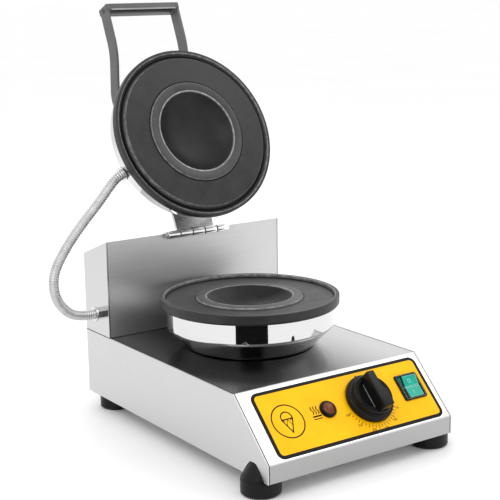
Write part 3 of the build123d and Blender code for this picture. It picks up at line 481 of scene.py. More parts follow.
def distance_from_axis(tree, vector):
    """How far a point is from the Z axis."""
    x, y, _ = axes(tree, vector)
    flat = add_node(tree, "CombineXYZ", Z=0.0)
    tree.links.new(x, flat.inputs["X"])
    tree.links.new(y, flat.inputs["Y"])
    length = add_node(tree, "VectorMath", operation="LENGTH")
    tree.links.new(flat.outputs[0], length.inputs[0])
    return length.outputs["Value"]


def ring_band(tree, distance, radius, width, inner, outer):
    """A value that runs from inner to outer as the distance from a radius, in mm, grows to a width."""
    away = calculate(tree, "ABSOLUTE", calculate(tree, "SUBTRACT", distance, radius * MM))
    return remap(tree, away, inner, outer, 0.0, width * MM)


def rub_and_highlight_rings(tree, vector, distance, rubbed_and_highlit):
    """How far the coating is worn and lit by painted highlight on its edges, in broken rings of (radius,
    width, amount).
    """
    rub_and_highlight_mask = 0.0
    for radius, width, amount in rubbed_and_highlit:
        band = ring_band(tree, distance, radius, width, amount, 0.0)
        rub_and_highlight_mask = calculate(tree, "MAXIMUM", rub_and_highlight_mask, band)
    patches = noise(tree, vector, 160.0, 4.0, 0.7)
    return calculate(tree, "MULTIPLY", rub_and_highlight_mask, remap(tree, patches, 0.35, 1.0, 0.38, 0.66))


def coating_painted_shading(tree, distance, corner_shade):
    """How light the coating is at a distance from the axis: painted shade in the bowl, painted light on the
    ring's top, and painted shade on rings of (radius, width) in its corners.
    """
    bowl = remap(tree, distance, BOWL_PAINTED_SHADE, 1.0, *BOWL_EDGE)
    ring = remap(tree, distance, RING_PAINTED_LIGHT, 1.0, *RING_EDGE)
    tone = calculate(tree, "MULTIPLY", bowl, ring)
    for radius, width in corner_shade:
        tone = calculate(tree, "MULTIPLY", tone, ring_band(tree, distance, radius, width, 0.0, 1.0))
    return tone


def plate_coating(name, place, rubbed_and_highlit, corner_shade):
    """Dark non-stick coating with fine speckle and soft blotches, lighter on rings of wear and painted
    highlight, with painted shade in the bowl and its corners and painted light on the ring's top.
    """
    material, tree, shader = new_material(name)
    vector = place_coordinates(tree, place)
    distance = distance_from_axis(tree, vector)
    speckle = noise(tree, vector, 620.0, 3.0, 0.75)
    blotch = noise(tree, vector, 45.0, 5.0, 0.65)
    tone = coating_painted_shading(tree, distance, corner_shade)
    shaded = add_node(tree, "VectorMath", operation="SCALE")
    tree.links.new(tones(tree, blotch, grey(0.010), grey(0.026)), shaded.inputs[0])
    tree.links.new(tone, shaded.inputs["Scale"])
    mix = add_node(tree, "Mix", data_type="RGBA")
    tree.links.new(rub_and_highlight_rings(tree, vector, distance, rubbed_and_highlit), mix.inputs["Factor"])
    tree.links.new(shaded.outputs["Vector"], mix.inputs[MIX_A])
    # The pale grey of the worn coating and of the painted highlight on its edges.
    mix.inputs[MIX_B].default_value = (*grey(0.50), 1.0)
    gloss = calculate(tree, "MULTIPLY", tone, COATING_GLOSS)
    tree.links.new(gloss, shader.inputs["Specular IOR Level"])
    finish_surface(tree, shader, mix.outputs[MIX_RESULT], remap(tree, blotch, 0.34, 0.48))
    bump(tree, shader, speckle, 0.6, 0.22 * MM)
    return material


def plastic(name, dark, light, rough, grain_scale=700.0, relief=0.25, coat=0.0, specular=0.5):
    """Moulded plastic, rubber or paint with a fine grain."""
    material, tree, shader = new_material(
        name, Coat_Weight=coat, Coat_Roughness=0.15, Specular_IOR_Level=specular)
    vector = object_coordinates(tree)
    grain = noise(tree, vector, grain_scale, 3.0, 0.6)
    clouds = noise(tree, vector, 40.0, 3.0, 0.5)
    finish_surface(tree, shader, tones(tree, clouds, dark, light), remap(tree, grain, *rough))
    bump(tree, shader, grain, relief, GRAIN_DEPTH)
    return material


def conduit_metal(name):
    """Light zinc-coloured strip with dull patches."""
    material, tree, shader = new_material(name, Metallic=1.0)
    vector = object_coordinates(tree)
    patches = noise(tree, vector, 120.0, 4.0, 0.6)
    colour = tones(tree, patches, grey(0.46), grey(0.62))
    finish_surface(tree, shader, colour, remap(tree, patches, 0.26, 0.40))
    bump(tree, shader, noise(tree, vector, 900.0), 0.1, 0.03 * MM)
    return material


def fibre(name):
    """White ceramic wool."""
    material, tree, shader = new_material(name, Roughness=0.95, Sheen_Weight=0.3)
    vector = object_coordinates(tree, scale=(1, 1, 3))
    strands = noise(tree, vector, 350.0, 6.0, 0.75)
    colour = tones(tree, strands, (0.66, 0.64, 0.58), (0.88, 0.87, 0.82))
    tree.links.new(colour, shader.inputs["Base Color"])
    bump(tree, shader, strands, 0.6, 0.5 * MM)
    return material


def clear_plastic(name, dark, light, painted_glow=0.0):
    """Tinted, slightly see-through moulded plastic, which may have a faint painted glow."""
    material, tree, shader = new_material(
        name, Transmission_Weight=0.1, IOR=1.49, Specular_IOR_Level=0.25,
        Coat_Weight=0.1, Coat_Roughness=0.1)
    clouds = noise(tree, object_coordinates(tree), 130.0, 3.0, 0.6)
    colour = tones(tree, clouds, dark, light)
    finish_surface(tree, shader, colour, remap(tree, clouds, 0.14, 0.24))
    if painted_glow:
        tree.links.new(colour, shader.inputs["Emission Color"])
        shader.inputs["Emission Strength"].default_value = painted_glow
    return material


# --- Places on the machine ---
CLOSED_GAP = 4.0 * MM  # between the two plates' rims when the lid is closed


def label_place():
    """The fascia's plane at the knob's axis: X to the right, Y up the slope, Z outwards."""
    joint = JOINTS["knob_turn"]
    outward = Vector(joint["axis"]).normalized()
    right = Vector((1, 0, 0))
    up = outward.cross(right)
    turn = Matrix((right, up, outward)).transposed().to_4x4()
    return Matrix.Translation(joint["pos_m"]) @ turn


def lid_place():
    """The open lid's own frame: the middle of its face, with Z towards its back."""
    hinge = Vector(JOINTS["lid_hinge"]["pos_m"])
    opened = -math.radians(JOINTS["lid_hinge"]["range_deg"][1])
    low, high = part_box("lower_plate")
    centre = Vector(((low.x + high.x) / 2, (low.y + high.y) / 2, high.z + CLOSED_GAP))
    return Matrix.Translation(hinge) @ Matrix.Rotation(opened, 4, "X") @ Matrix.Translation(centre - hinge)


def lower_place():
    """The lower plate's frame: the middle of its rim's top."""
    low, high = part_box("lower_plate")
    return Matrix.Translation(((low.x + high.x) / 2, (low.y + high.y) / 2, high.z))


def extents(node, place):
    """The lowest and highest corner of a CAD node in a place's own frame."""
    inverse = place.inverted()
    points = [inverse @ v.co for v in NODES[node].data.vertices]
    low = Vector([min(p[i] for p in points) for i in range(3)])
    high = Vector([max(p[i] for p in points) for i in range(3)])
    return low, high


LABEL = label_place()
LABEL_LOW, LABEL_HIGH = extents("fascia_label", LABEL)
LABEL_MIDDLE = (LABEL_LOW + LABEL_HIGH) / 2
LID = lid_place()
LOWER = lower_place()


# --- Conduit ---
def read_route():
    """The conduit's centreline, read from a NURBS spline through its route's points."""
    data = bpy.data.curves.new("conduit_route", "CURVE")
    data.dimensions = "3D"
    data.resolution_u = 32
    spline = data.splines.new("NURBS")
    spline.points.add(len(CONDUIT_ROUTE) - 1)
    for point, co in zip(spline.points, CONDUIT_ROUTE):
        point.co = (*co, 1.0)
    spline.order_u = 3
    spline.use_endpoint_u = True
    mesh = mesh_from_curve("conduit_route", data)
    line = [v.co.copy() for v in mesh.vertices]
    bpy.data.meshes.remove(mesh)
    return line


def evenly_spaced(line, step):
    """Points along a line, one step apart, and its length."""
    lengths = [0.0]
    for a, b in zip(line, line[1:]):
        lengths.append(lengths[-1] + (b - a).length)
    count = max(2, round(lengths[-1] / step))
    points = []
    place = 0
    for i in range(count + 1):
        target = lengths[-1] * i / count
        while place < len(lengths) - 2 and lengths[place + 1] < target:
            place += 1
        span = max(lengths[place + 1] - lengths[place], 1e-9)
        points.append(line[place].lerp(line[place + 1], (target - lengths[place]) / span))
    return points, lengths[-1]


def ring_directions(points):
    """Two directions square to the line at each point, which don't twist along it."""
    last = len(points) - 1
    tangents = []
    for i in range(len(points)):
        tangents.append((points[min(i + 1, last)] - points[max(i - 1, 0)]).normalized())
    side = tangents[0].orthogonal().normalized()
    directions = []
    for tangent in tangents:
        side = (side - tangent * side.dot(tangent)).normalized()
        directions.append((side, tangent.cross(side)))
    return directions


def make_conduit(material):
    """The conduit: a tube with a helical groove, like wound metal strip."""
    line = read_route()
    points, length = evenly_spaced(line, RIB_PITCH / RIB_RINGS)
    rings = []
    for i, (point, (side, other)) in enumerate(zip(points, ring_directions(points))):
        along = length * i / (len(points) - 1)
        ring = []
        for k in range(CONDUIT_SIDES):
            turn = 2 * math.pi * k / CONDUIT_SIDES
            phase = along / RIB_PITCH + k / CONDUIT_SIDES
            groove = abs(math.cos(math.pi * phase)) ** GROOVE_POWER
            radius = CONDUIT_DIAMETER / 2 - RIB_DEPTH * groove
            ring.append(point + (side * math.cos(turn) + other * math.sin(turn)) * radius)
        rings.append(ring)
    bm = bmesh.new()
    add_rings(bm, rings)
    tube = new_object("conduit_tube", bm, material, sharp_angle=180.0)
    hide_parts("conduit")
    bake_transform(tube)


# --- Fascia graphics ---
PRINT_HEIGHT = 0.06 * MM
LABEL_BORDER = 3.5 * MM
LABEL_CORNER = 8.0 * MM
BORDER_OVERLAP = 0.2 * MM  # how far the border reaches past the yellow plate, in all
BORDER_SINK = 0.5 * MM
# The dial runs clockwise from the top, in degrees.
DIAL_START = 118.0
DIAL_END = 252.0
DIAL_RADIUS = 29.2 * MM
TICK_COUNT = 19
TICK_LENGTH = 2.2 * MM
LONG_TICK_EXTRA = 1.2 * MM
LONG_TICK_EVERY = 3
TICK_WIDTH = 0.6 * MM
DIAL_NUMBERS = ("50", "100", "150", "200", "250", "300")
NUMBER_REACH = 5.2 * MM
NUMBER_SIZE = 3.8 * MM
TOP_MARK = [(-1.6, 0.6), (0.0, -1.0), (1.6, 0.6)]  # mm from the dial's top
# The round mark at the left of the fascia, with a cone in it.
EMBLEM_FROM_LEFT = 29.0 * MM
EMBLEM_OUTER_R = 19.0 * MM
EMBLEM_INNER_R = 17.6 * MM
EMBLEM_SIDES = 60
CONE_HALF = 6.6 * MM
CONE_TOP = 2.5 * MM
CONE_TIP = -12.5 * MM
CONE_LINE = 1.3 * MM
WAFER_SHIFT = 4.4 * MM
WAFER_LINE = 0.7 * MM
WAFER_FILL = 0.92  # how much of the room inside the cone a line takes
WAFER_SLANT = (0.5, 1.15)
SCOOP_CENTRE = 4.0 * MM
SCOOP_R = 6.4 * MM
SCOOP_ARC = (-8, 188)
# The heat mark beside the lamp, drawn small and scaled up.
HEAT_FROM_LAMP = 6.0 * MM
HEAT_SCALE = 1.35
WAVE_COUNT = 3
WAVE_PITCH = 2.4 * MM
WAVE_SWING = 0.55 * MM
WAVE_FOOT = -1.0 * MM
WAVE_STEP = 0.75 * MM
WAVE_POINTS = 9
WAVE_LINE = 0.8 * MM
HEAT_BAR_HALF = 3.4 * MM
HEAT_BARS = [(-3.0, 1.3), (-5.2, 0.8)]  # height and thickness in mm


def ride(piece, body):
    """Put a piece on a body."""
    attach(piece, body)


def finish_print(name, bm, ink):
    """A print on the fascia, from its finished bmesh."""
    ride(new_object(name, bm, ink, smooth=False), "base")


def make_border(ink):
    """The dark border round the fascia's plate."""
    width, height, _ = LABEL_HIGH - LABEL_LOW
    place = LABEL @ Matrix.Translation((LABEL_MIDDLE.x, LABEL_MIDDLE.y, LABEL_HIGH.z))
    outer = rounded_rectangle(width + BORDER_OVERLAP, height + BORDER_OVERLAP, LABEL_CORNER)
    inner = rounded_rectangle(
        width - 2 * LABEL_BORDER, height - 2 * LABEL_BORDER, LABEL_CORNER - LABEL_BORDER)
    bm = bmesh.new()
    add_print(bm, place, outer, -BORDER_SINK, PRINT_HEIGHT, hole=inner)
    finish_print("label_border", bm, ink)


def add_stroke(bm, place, points, width, high=PRINT_HEIGHT):
    """A printed line of a given width through points in a place's plane."""
    for (x0, y0), (x1, y1) in zip(points, points[1:]):
        along = Vector((x1 - x0, y1 - y0))
        side = Vector((-along.y, along.x)).normalized() * width / 2
        reach = along.normalized() * width / 2
        corners = [
            (x0 - reach.x + side.x, y0 - reach.y + side.y),
            (x0 - reach.x - side.x, y0 - reach.y - side.y),
            (x1 + reach.x - side.x, y1 + reach.y - side.y),
            (x1 + reach.x + side.x, y1 + reach.y + side.y),
        ]
        add_print(bm, place, corners, 0.0, high)


def dial_direction(share):
    """The direction from the knob's axis to a share of the dial's arc."""
    clock = math.radians(DIAL_START + (DIAL_END - DIAL_START) * share)
    return Vector((math.sin(clock), math.cos(clock)))


def make_dial(ink):
    """Ticks and numbers round the knob, and a small mark at the top."""
    place = LABEL @ Matrix.Translation((0, 0, LABEL_HIGH.z))
    bm = bmesh.new()
    for i in range(TICK_COUNT):
        out = dial_direction(i / (TICK_COUNT - 1))
        length = TICK_LENGTH
        if i % LONG_TICK_EVERY == 0:
            length += LONG_TICK_EXTRA
        add_stroke(bm, place, [out * DIAL_RADIUS, out * (DIAL_RADIUS + length)], TICK_WIDTH)
    top = [(x, DIAL_RADIUS + y) for x, y in metres(TOP_MARK)]
    add_print(bm, place, top, 0.0, PRINT_HEIGHT)
    finish_print("dial_ticks", bm, ink)
    for i, number in enumerate(DIAL_NUMBERS):
        out = dial_direction(i / (len(DIAL_NUMBERS) - 1)) * (DIAL_RADIUS + NUMBER_REACH)
        place = LABEL @ Matrix.Translation((out.x, out.y, LABEL_HIGH.z + PRINT_HEIGHT / 2))
        make_text("dial_number_" + number, number, NUMBER_SIZE, place, ink)


def make_text(name, words, size, place, ink):
    """A short number as a thin flat mesh, centred on a place."""
    data = bpy.data.curves.new(name, "FONT")
    data.body = words
    data.size = size
    data.align_x = "CENTER"
    data.align_y = "CENTER"
    data.extrude = PRINT_HEIGHT / 2
    data.resolution_u = 3
    mesh = mesh_from_curve(name + "_curve", data)
    mesh.transform(place)
    mesh.materials.clear()
    mesh.materials.append(ink)
    mesh.name = name
    ride(add_object(name, mesh), "base")


def make_emblem(ink):
    """A plain round mark with a rolled cone in it, at the left of the fascia."""
    place = LABEL @ Matrix.Translation((LABEL_LOW.x + EMBLEM_FROM_LEFT, LABEL_MIDDLE.y, LABEL_HIGH.z))
    bm = bmesh.new()
    add_print(bm, place, circle_points(EMBLEM_OUTER_R, EMBLEM_SIDES), 0, PRINT_HEIGHT,
              hole=circle_points(EMBLEM_INNER_R, EMBLEM_SIDES))
    left, tip, right = (-CONE_HALF, CONE_TOP), (0, CONE_TIP), (CONE_HALF, CONE_TOP)
    add_stroke(bm, place, [left, tip, right, left], CONE_LINE)
    for shift in (-WAFER_SHIFT, 0.0, WAFER_SHIFT):
        reach = (CONE_HALF - abs(shift)) * WAFER_FILL
        end = (shift + reach * WAFER_SLANT[0], CONE_TOP - reach * WAFER_SLANT[1])
        add_stroke(bm, place, [(shift, CONE_TOP), end], WAFER_LINE)
        add_stroke(bm, place, [(-shift, CONE_TOP), (-end[0], end[1])], WAFER_LINE)
    scoop = arc_points(0, SCOOP_CENTRE, SCOOP_R, *SCOOP_ARC, 20)
    add_stroke(bm, place, scoop, CONE_LINE)
    finish_print("cone_emblem", bm, ink)


def make_heat_mark(ink):
    """Three wavy lines over two bars, beside the pilot lamp."""
    lamp_low, lamp_high = extents("pilot_bezel", LABEL)
    corner = (lamp_low.x - HEAT_FROM_LAMP, (lamp_low.y + lamp_high.y) / 2, LABEL_HIGH.z)
    place = LABEL @ Matrix.Translation(corner) @ Matrix.Scale(HEAT_SCALE, 4)
    bm = bmesh.new()
    for i in range(WAVE_COUNT):
        middle = (i - 1) * WAVE_PITCH
        wave = []
        for k in range(WAVE_POINTS):
            wave.append((middle + WAVE_SWING * math.sin(k * math.pi / 4), WAVE_FOOT + k * WAVE_STEP))
        add_stroke(bm, place, wave, WAVE_LINE)
    for height, thickness in metres(HEAT_BARS):
        bar = [(-HEAT_BAR_HALF, height), (HEAT_BAR_HALF, height)]
        add_stroke(bm, place, bar, thickness)
    finish_print("heat_mark", bm, ink)


# --- Plates, in mm of radius and height from the bowl's edge outwards and round the back ---
BOWL_R = 48.5 * MM
BOWL_DEPTH = 18.0 * MM
BOWL_STEPS = 25
BOWL_POWER = 3.0
PLATE_SIDES = 192
PLATE_CORNER = 0.9 * MM
NEAR_AXIS = 0.01 * MM
LOWER_RING_Z = -1.7 * MM
UPPER_RING_Z = -4.5 * MM
LOWER_OUTLINE = [
    (48.5, -1.7), (59.3, -1.7), (59.7, -4.0), (94.7, -4.0), (95.5, 0.0), (100.5, 0.0), (100.5, -9.0),
    (99.0, -11.0), (92.7, -11.0), (92.7, -13.0), (51.0, -13.0), (30.0, -25.7), (0.0, -25.7),
]
UPPER_OUTLINE = [
    (48.5, -4.5), (59.3, -4.5), (59.7, -2.5), (90.4, -2.5), (91.0, 3.0), (97.2, 3.0), (97.8, 0.0),
    (101.5, 0.0), (101.5, 9.0), (100.0, 11.0), (93.7, 11.0), (93.7, 11.5), (51.0, 11.5), (30.0, 19.5),
    (0.0, 19.5),
]
# Rings where the coating is worn and where painted highlight lights its edges, as radius and width in mm
# and the amount, and rings of painted shade in its corners, as radius and width in mm.
LOWER_RUB_AND_HIGHLIGHT = [(48.9, 1.0, 1.0), (59.4, 0.8, 0.7), (95.7, 1.0, 0.8)]
UPPER_RUB_AND_HIGHLIGHT = [(48.9, 1.2, 1.0), (59.4, 0.7, 0.6), (90.6, 0.8, 0.6), (97.9, 0.9, 0.8)]
LOWER_CORNER_SHADE = [(60.9, 1.2), (94.2, 1.2)]
UPPER_CORNER_SHADE = [(60.7, 1.1), (94.1, 3.0)]


def make_plate(name, node, place, outline, ring_z, sink, material, body):
    """A cast plate turned from its outline, with a bowl whose floor sinks one way or the other."""
    bowl = []
    for i in range(BOWL_STEPS):
        share = i / BOWL_STEPS
        depth = BOWL_DEPTH * (1 - share**BOWL_POWER)
        bowl.append((BOWL_R * share, ring_z + sink * depth))
    edge = rounded_profile(metres(outline), PLATE_CORNER)
    profile = [(max(r, NEAR_AXIS), z) for r, z in bowl + edge]
    bm = bmesh.new()
    add_lathe(bm, profile, place, PLATE_SIDES)
    plate = new_object(name, bm, material, sharp_angle=50.0)
    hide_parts(node)
    ride(plate, body)


def make_plates():
    """Both baking plates, with their coating, in place of the CAD's."""
    lower = plate_coating("lower_coating", LOWER, LOWER_RUB_AND_HIGHLIGHT, LOWER_CORNER_SHADE)
    upper = plate_coating("upper_coating", LID, UPPER_RUB_AND_HIGHLIGHT, UPPER_CORNER_SHADE)
    paint(lower, "lower_plate")
    paint(upper, "upper_plate")
    make_plate("lower_plate_casting", "lower_plate", LOWER, LOWER_OUTLINE, LOWER_RING_Z, -1, lower, "base")
    make_plate("upper_plate_casting", "upper_plate", LID, UPPER_OUTLINE, UPPER_RING_Z, 1, upper, "lid")


# --- Knob ---
KNOB_PROFILE = [
    (0.01, 1.5), (26.4, 1.5), (27.0, 2.1), (27.0, 4.6), (26.3, 7.4), (24.4, 8.4), (23.0, 8.5),
    (22.5, 9.0), (22.3, 13.2), (21.6, 14.3), (20.7, 14.5), (20.1, 13.5), (19.4, 13.5), (18.9, 14.6),
    (17.9, 14.6), (17.2, 13.0), (14.0, 10.8), (0.01, 10.0),
]
KNOB_CORNER = 0.5 * MM
KNOB_SIDES = 96
KNOB_BAR = [(-4.5, 21.2), (-4.5, -21.2), (9.2, -19.6), (8.8, -4.0), (5.2, 6.0), (5.0, 21.2)]
KNOB_BAR_CORNER = 1.2 * MM
KNOB_BAR_EDGE = 0.6 * MM
KNOB_BAR_LOW = 9.5 * MM
KNOB_BAR_TOP = 25.5 * MM
# The light line at the foot of the bar's left wall is a painted highlight.
KNOB_LINE_X = -4.7 * MM
KNOB_LINE_WIDTH = 0.4 * MM
KNOB_LINE_LENGTH = 33 * MM
KNOB_LINE_HEIGHTS = (10.0 * MM, 11.2 * MM)


def make_knob(material, line_highlight):
    """The knob: a stepped skirt, a dished top, a tall grip bar and a painted highlight line beside it."""
    bm = bmesh.new()
    profile = rounded_profile(metres(KNOB_PROFILE), KNOB_CORNER, 3)
    add_lathe(bm, profile, LABEL, KNOB_SIDES)
    bar = round_corners(metres(KNOB_BAR), KNOB_BAR_CORNER)
    add_prism(bm, LABEL, bar, KNOB_BAR_LOW, KNOB_BAR_TOP, KNOB_BAR_EDGE)
    body = new_object("knob_body", bm, material, sharp_angle=40.0)
    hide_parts("knob", "knob_pointer")
    ride(body, "thermostat_knob")
    bm = bmesh.new()
    foot = rounded_rectangle(KNOB_LINE_WIDTH, KNOB_LINE_LENGTH, 0.15 * MM, 3)
    place = LABEL @ Matrix.Translation((KNOB_LINE_X, 0, 0))
    add_prism(bm, place, foot, *KNOB_LINE_HEIGHTS, 0.1 * MM)
    ride(new_object("knob_highlight_line", bm, line_highlight), "thermostat_knob")


# --- Rocker switch ---
SWITCH_PLACE = (60.0, 3.0)  # mm from the knob's axis, across and up the slope
ROCKER_HALF = 6.3  # mm from the rocker's pivot to the middle of one half
ROCKER_FACE_Z = 3.0  # mm above the fascia, as is the bezel's top
ROCKER_LEAN = 7.0
ROCKER_PIVOT = -1.0
# Outlines as width, height and corner radius in mm.
# The rims round the rocker's halves and on the bezel are painted highlights on their edges.
ROCKER_HIGHLIGHT_RIM = [(21.6, 11.6, 0.8), (20.9, 10.9, 0.5)]
SWITCH_HIGHLIGHT_RIM = [(26.2, 28.0, 0.8), (25.9, 27.7, 0.6)]
SHADE_STRIP = (2.9, 11.9, 0.3)
SHADE_X = -9.5 * MM
RIM_SINK = 0.05 * MM
RIM_RISE = 0.12 * MM
SHADE_RISE = 0.16 * MM
SWITCH_HIGHLIGHT_RISE = 0.08 * MM
MARK_RISE = 0.1 * MM
OFF_MARK_OUTER = 2.1 * MM
OFF_MARK_INNER = 1.5 * MM
OFF_MARK_SIDES = 36
ON_MARK_HALF = 1.8 * MM
ON_MARK_LINE = 0.6 * MM


def rocker_face(side):
    """The middle of one half of the rocker's face; side is 1 for the upper half."""
    lean = math.radians(ROCKER_LEAN)
    pivot = LABEL @ Matrix.Translation(Vector((*SWITCH_PLACE, ROCKER_PIVOT)) * MM)
    out = Vector((0, side * ROCKER_HALF, ROCKER_FACE_Z - ROCKER_PIVOT)) * MM
    turned = pivot @ Matrix.Rotation(lean, 4, "X") @ Matrix.Translation(out)
    return turned @ Matrix.Rotation(side * lean, 4, "X")


def flat_rectangle(width, height, radius):
    """A rounded rectangle, with its sizes in mm."""
    return rounded_rectangle(width * MM, height * MM, radius * MM)


def make_rocker_highlights_and_marks(light):
    """A painted highlight rim round each half of the rocker, and a printed ring and line as its two marks.
    """
    bm = bmesh.new()
    outer, inner = (flat_rectangle(*sizes) for sizes in ROCKER_HIGHLIGHT_RIM)
    for side in (-1, 1):
        add_print(bm, rocker_face(side), outer, -RIM_SINK, RIM_RISE, hole=inner)
    add_print(bm, rocker_face(1), circle_points(OFF_MARK_OUTER, OFF_MARK_SIDES), 0, MARK_RISE,
              hole=circle_points(OFF_MARK_INNER, OFF_MARK_SIDES))
    add_stroke(bm, rocker_face(-1), [(0, -ON_MARK_HALF), (0, ON_MARK_HALF)], ON_MARK_LINE, MARK_RISE)
    ride(new_object("rocker_highlights_and_marks", bm, light, smooth=False), "power_rocker")


def make_rocker_shade(dark):
    """A dark strip at the left of each half, where the photo's rocker is in shade."""
    bm = bmesh.new()
    for side in (-1, 1):
        place = rocker_face(side) @ Matrix.Translation((SHADE_X, 0, 0))
        add_print(bm, place, flat_rectangle(*SHADE_STRIP), -RIM_SINK, SHADE_RISE)
    ride(new_object("rocker_shade", bm, dark, smooth=False), "power_rocker")


def make_switch_highlight(light):
    """A fine painted highlight along the bezel's top."""
    bm = bmesh.new()
    place = LABEL @ Matrix.Translation(Vector((*SWITCH_PLACE, ROCKER_FACE_Z)) * MM)
    outer, inner = (flat_rectangle(*sizes) for sizes in SWITCH_HIGHLIGHT_RIM)
    add_print(bm, place, outer, -RIM_SINK, SWITCH_HIGHLIGHT_RISE, hole=inner)
    ride(new_object("switch_highlight_rim", bm, light, smooth=False), "base")


# --- Hinge barrel ---
KNUCKLE_COUNT = 5
KNUCKLE_LENGTH = 17.0
SLEEVE_R = 4.5
SLEEVE_END_R = 3.9
SLEEVE_GAP = 1.5
SLEEVE_CORNER = 0.4 * MM
BARREL_SIDES = 48
# Dark rings in the gaps between the knuckles, painted as the shade there.
GAP_RADII = (3.0, 4.25)
GAP_HALF = 0.62


def make_barrel(polish, dark):
    """Bright knuckles with rounded ends, alternately on the case and the lid, and dark rings painted as the
    shade in the gaps between.
    """
    hinge = Vector(JOINTS["lid_hinge"]["pos_m"])
    axis = Matrix.Translation(hinge) @ Matrix.Rotation(math.radians(90), 4, "Y")
    half = (KNUCKLE_LENGTH - SLEEVE_GAP) / 2
    for i in range(KNUCKLE_COUNT):
        middle = (i - (KNUCKLE_COUNT - 1) / 2) * KNUCKLE_LENGTH
        start, end = middle - half, middle + half
        profile = [(SLEEVE_END_R, start), (SLEEVE_R, start), (SLEEVE_R, end), (SLEEVE_END_R, end)]
        bm = bmesh.new()
        rounded = rounded_profile(metres(profile), SLEEVE_CORNER, 3)
        add_lathe(bm, rounded, axis, BARREL_SIDES)
        sleeve = new_object("hinge_knuckle_%d" % i, bm, polish)
        ride(sleeve, "lid" if i % 2 else "base")
    bm = bmesh.new()
    inner, outer = GAP_RADII
    for i in range(1, KNUCKLE_COUNT):
        middle = (i - KNUCKLE_COUNT / 2) * KNUCKLE_LENGTH
        start, end = middle - GAP_HALF, middle + GAP_HALF
        profile = metres([(inner, start), (outer, start), (outer, end), (inner, end)])
        add_lathe(bm, profile, axis, BARREL_SIDES)
    ride(new_object("hinge_gap_shade", bm, dark), "base")


# --- Handle grip ---
# Outlines across the grip, in mm along Y and Z of the lid's frame; the grip itself runs along X.
GRIP_BODY = [
    (-181.1, 40.6), (-173.0, 40.6), (-173.0, 43.0), (-176.5, 43.4), (-176.5, 51.1), (-173.0, 51.5),
    (-173.0, 62.1), (-181.1, 62.1),
]
GRIP_ENDS = [(-181.1, 40.6), (-173.0, 40.6), (-173.0, 62.1), (-181.1, 62.1)]
# A dark strip in the groove, painted as its shade.
GRIP_GROOVE = [(-177.0, 43.8), (-175.4, 43.8), (-175.4, 50.8), (-177.0, 50.8)]
# A tube of painted highlight along the grip's lower front edge.
GRIP_HIGHLIGHT_LINE = (-173.75, 41.25)
GRIP_HALF = 49.9 * MM
GRIP_END_FROM = 45.0 * MM
GRIP_GROOVE_HALF = 44.5 * MM
GRIP_BODY_CORNER = 1.3 * MM
GRIP_END_CORNER = 1.6 * MM
GRIP_HIGHLIGHT_R = 0.85 * MM


def make_grip(material, groove_shade_material, edge_highlight_material):
    """The moulded grip, with soft edges, a dark strip painted as the shade in the groove along its
    underside, and a painted highlight along the edge beside it.
    """
    across = LID @ Matrix(((0, 0, 1, 0), (1, 0, 0, 0), (0, 1, 0, 0), (0, 0, 0, 1)))
    bm = bmesh.new()
    add_prism(bm, across, metres(GRIP_GROOVE), -GRIP_GROOVE_HALF, GRIP_GROOVE_HALF, 0.1 * MM)
    ride(new_object("handle_grip_groove_shade", bm, groove_shade_material), "lid")
    bm = bmesh.new()
    y, z = GRIP_HIGHLIGHT_LINE
    edge = [LID @ Vector((x, y * MM, z * MM)) for x in (-GRIP_GROOVE_HALF, GRIP_GROOVE_HALF)]
    add_tube(bm, edge, GRIP_HIGHLIGHT_R)
    ride(new_object("handle_grip_highlight", bm, edge_highlight_material), "lid")
    bm = bmesh.new()
    section = round_corners(metres(GRIP_BODY), GRIP_BODY_CORNER)
    add_prism(bm, across, section, -GRIP_END_FROM, GRIP_END_FROM, 0.2 * MM)
    ends = round_corners(metres(GRIP_ENDS), GRIP_END_CORNER)
    for low, high in ((-GRIP_HALF, -GRIP_END_FROM), (GRIP_END_FROM, GRIP_HALF)):
        add_prism(bm, across, ends, low, high, 0.7 * MM)
    grip = new_object("handle_grip_body", bm, material, sharp_angle=45.0)
    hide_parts("handle_grip")
    ride(grip, "lid")


# --- Sheet edges and seams ---
LIP_Z = 36.5 * MM  # the top of the lip, where the slope starts
SLOPE_RUN = 58.0 * MM
EDGE_R = 0.8 * MM
EDGE_SINK = 0.7 * MM  # how far the edges' centre lines lie inside the sheet
SEAM_R = 0.45 * MM
FRONT_SEAM_R = 0.55 * MM
SEAM_INSET = 1.9 * MM


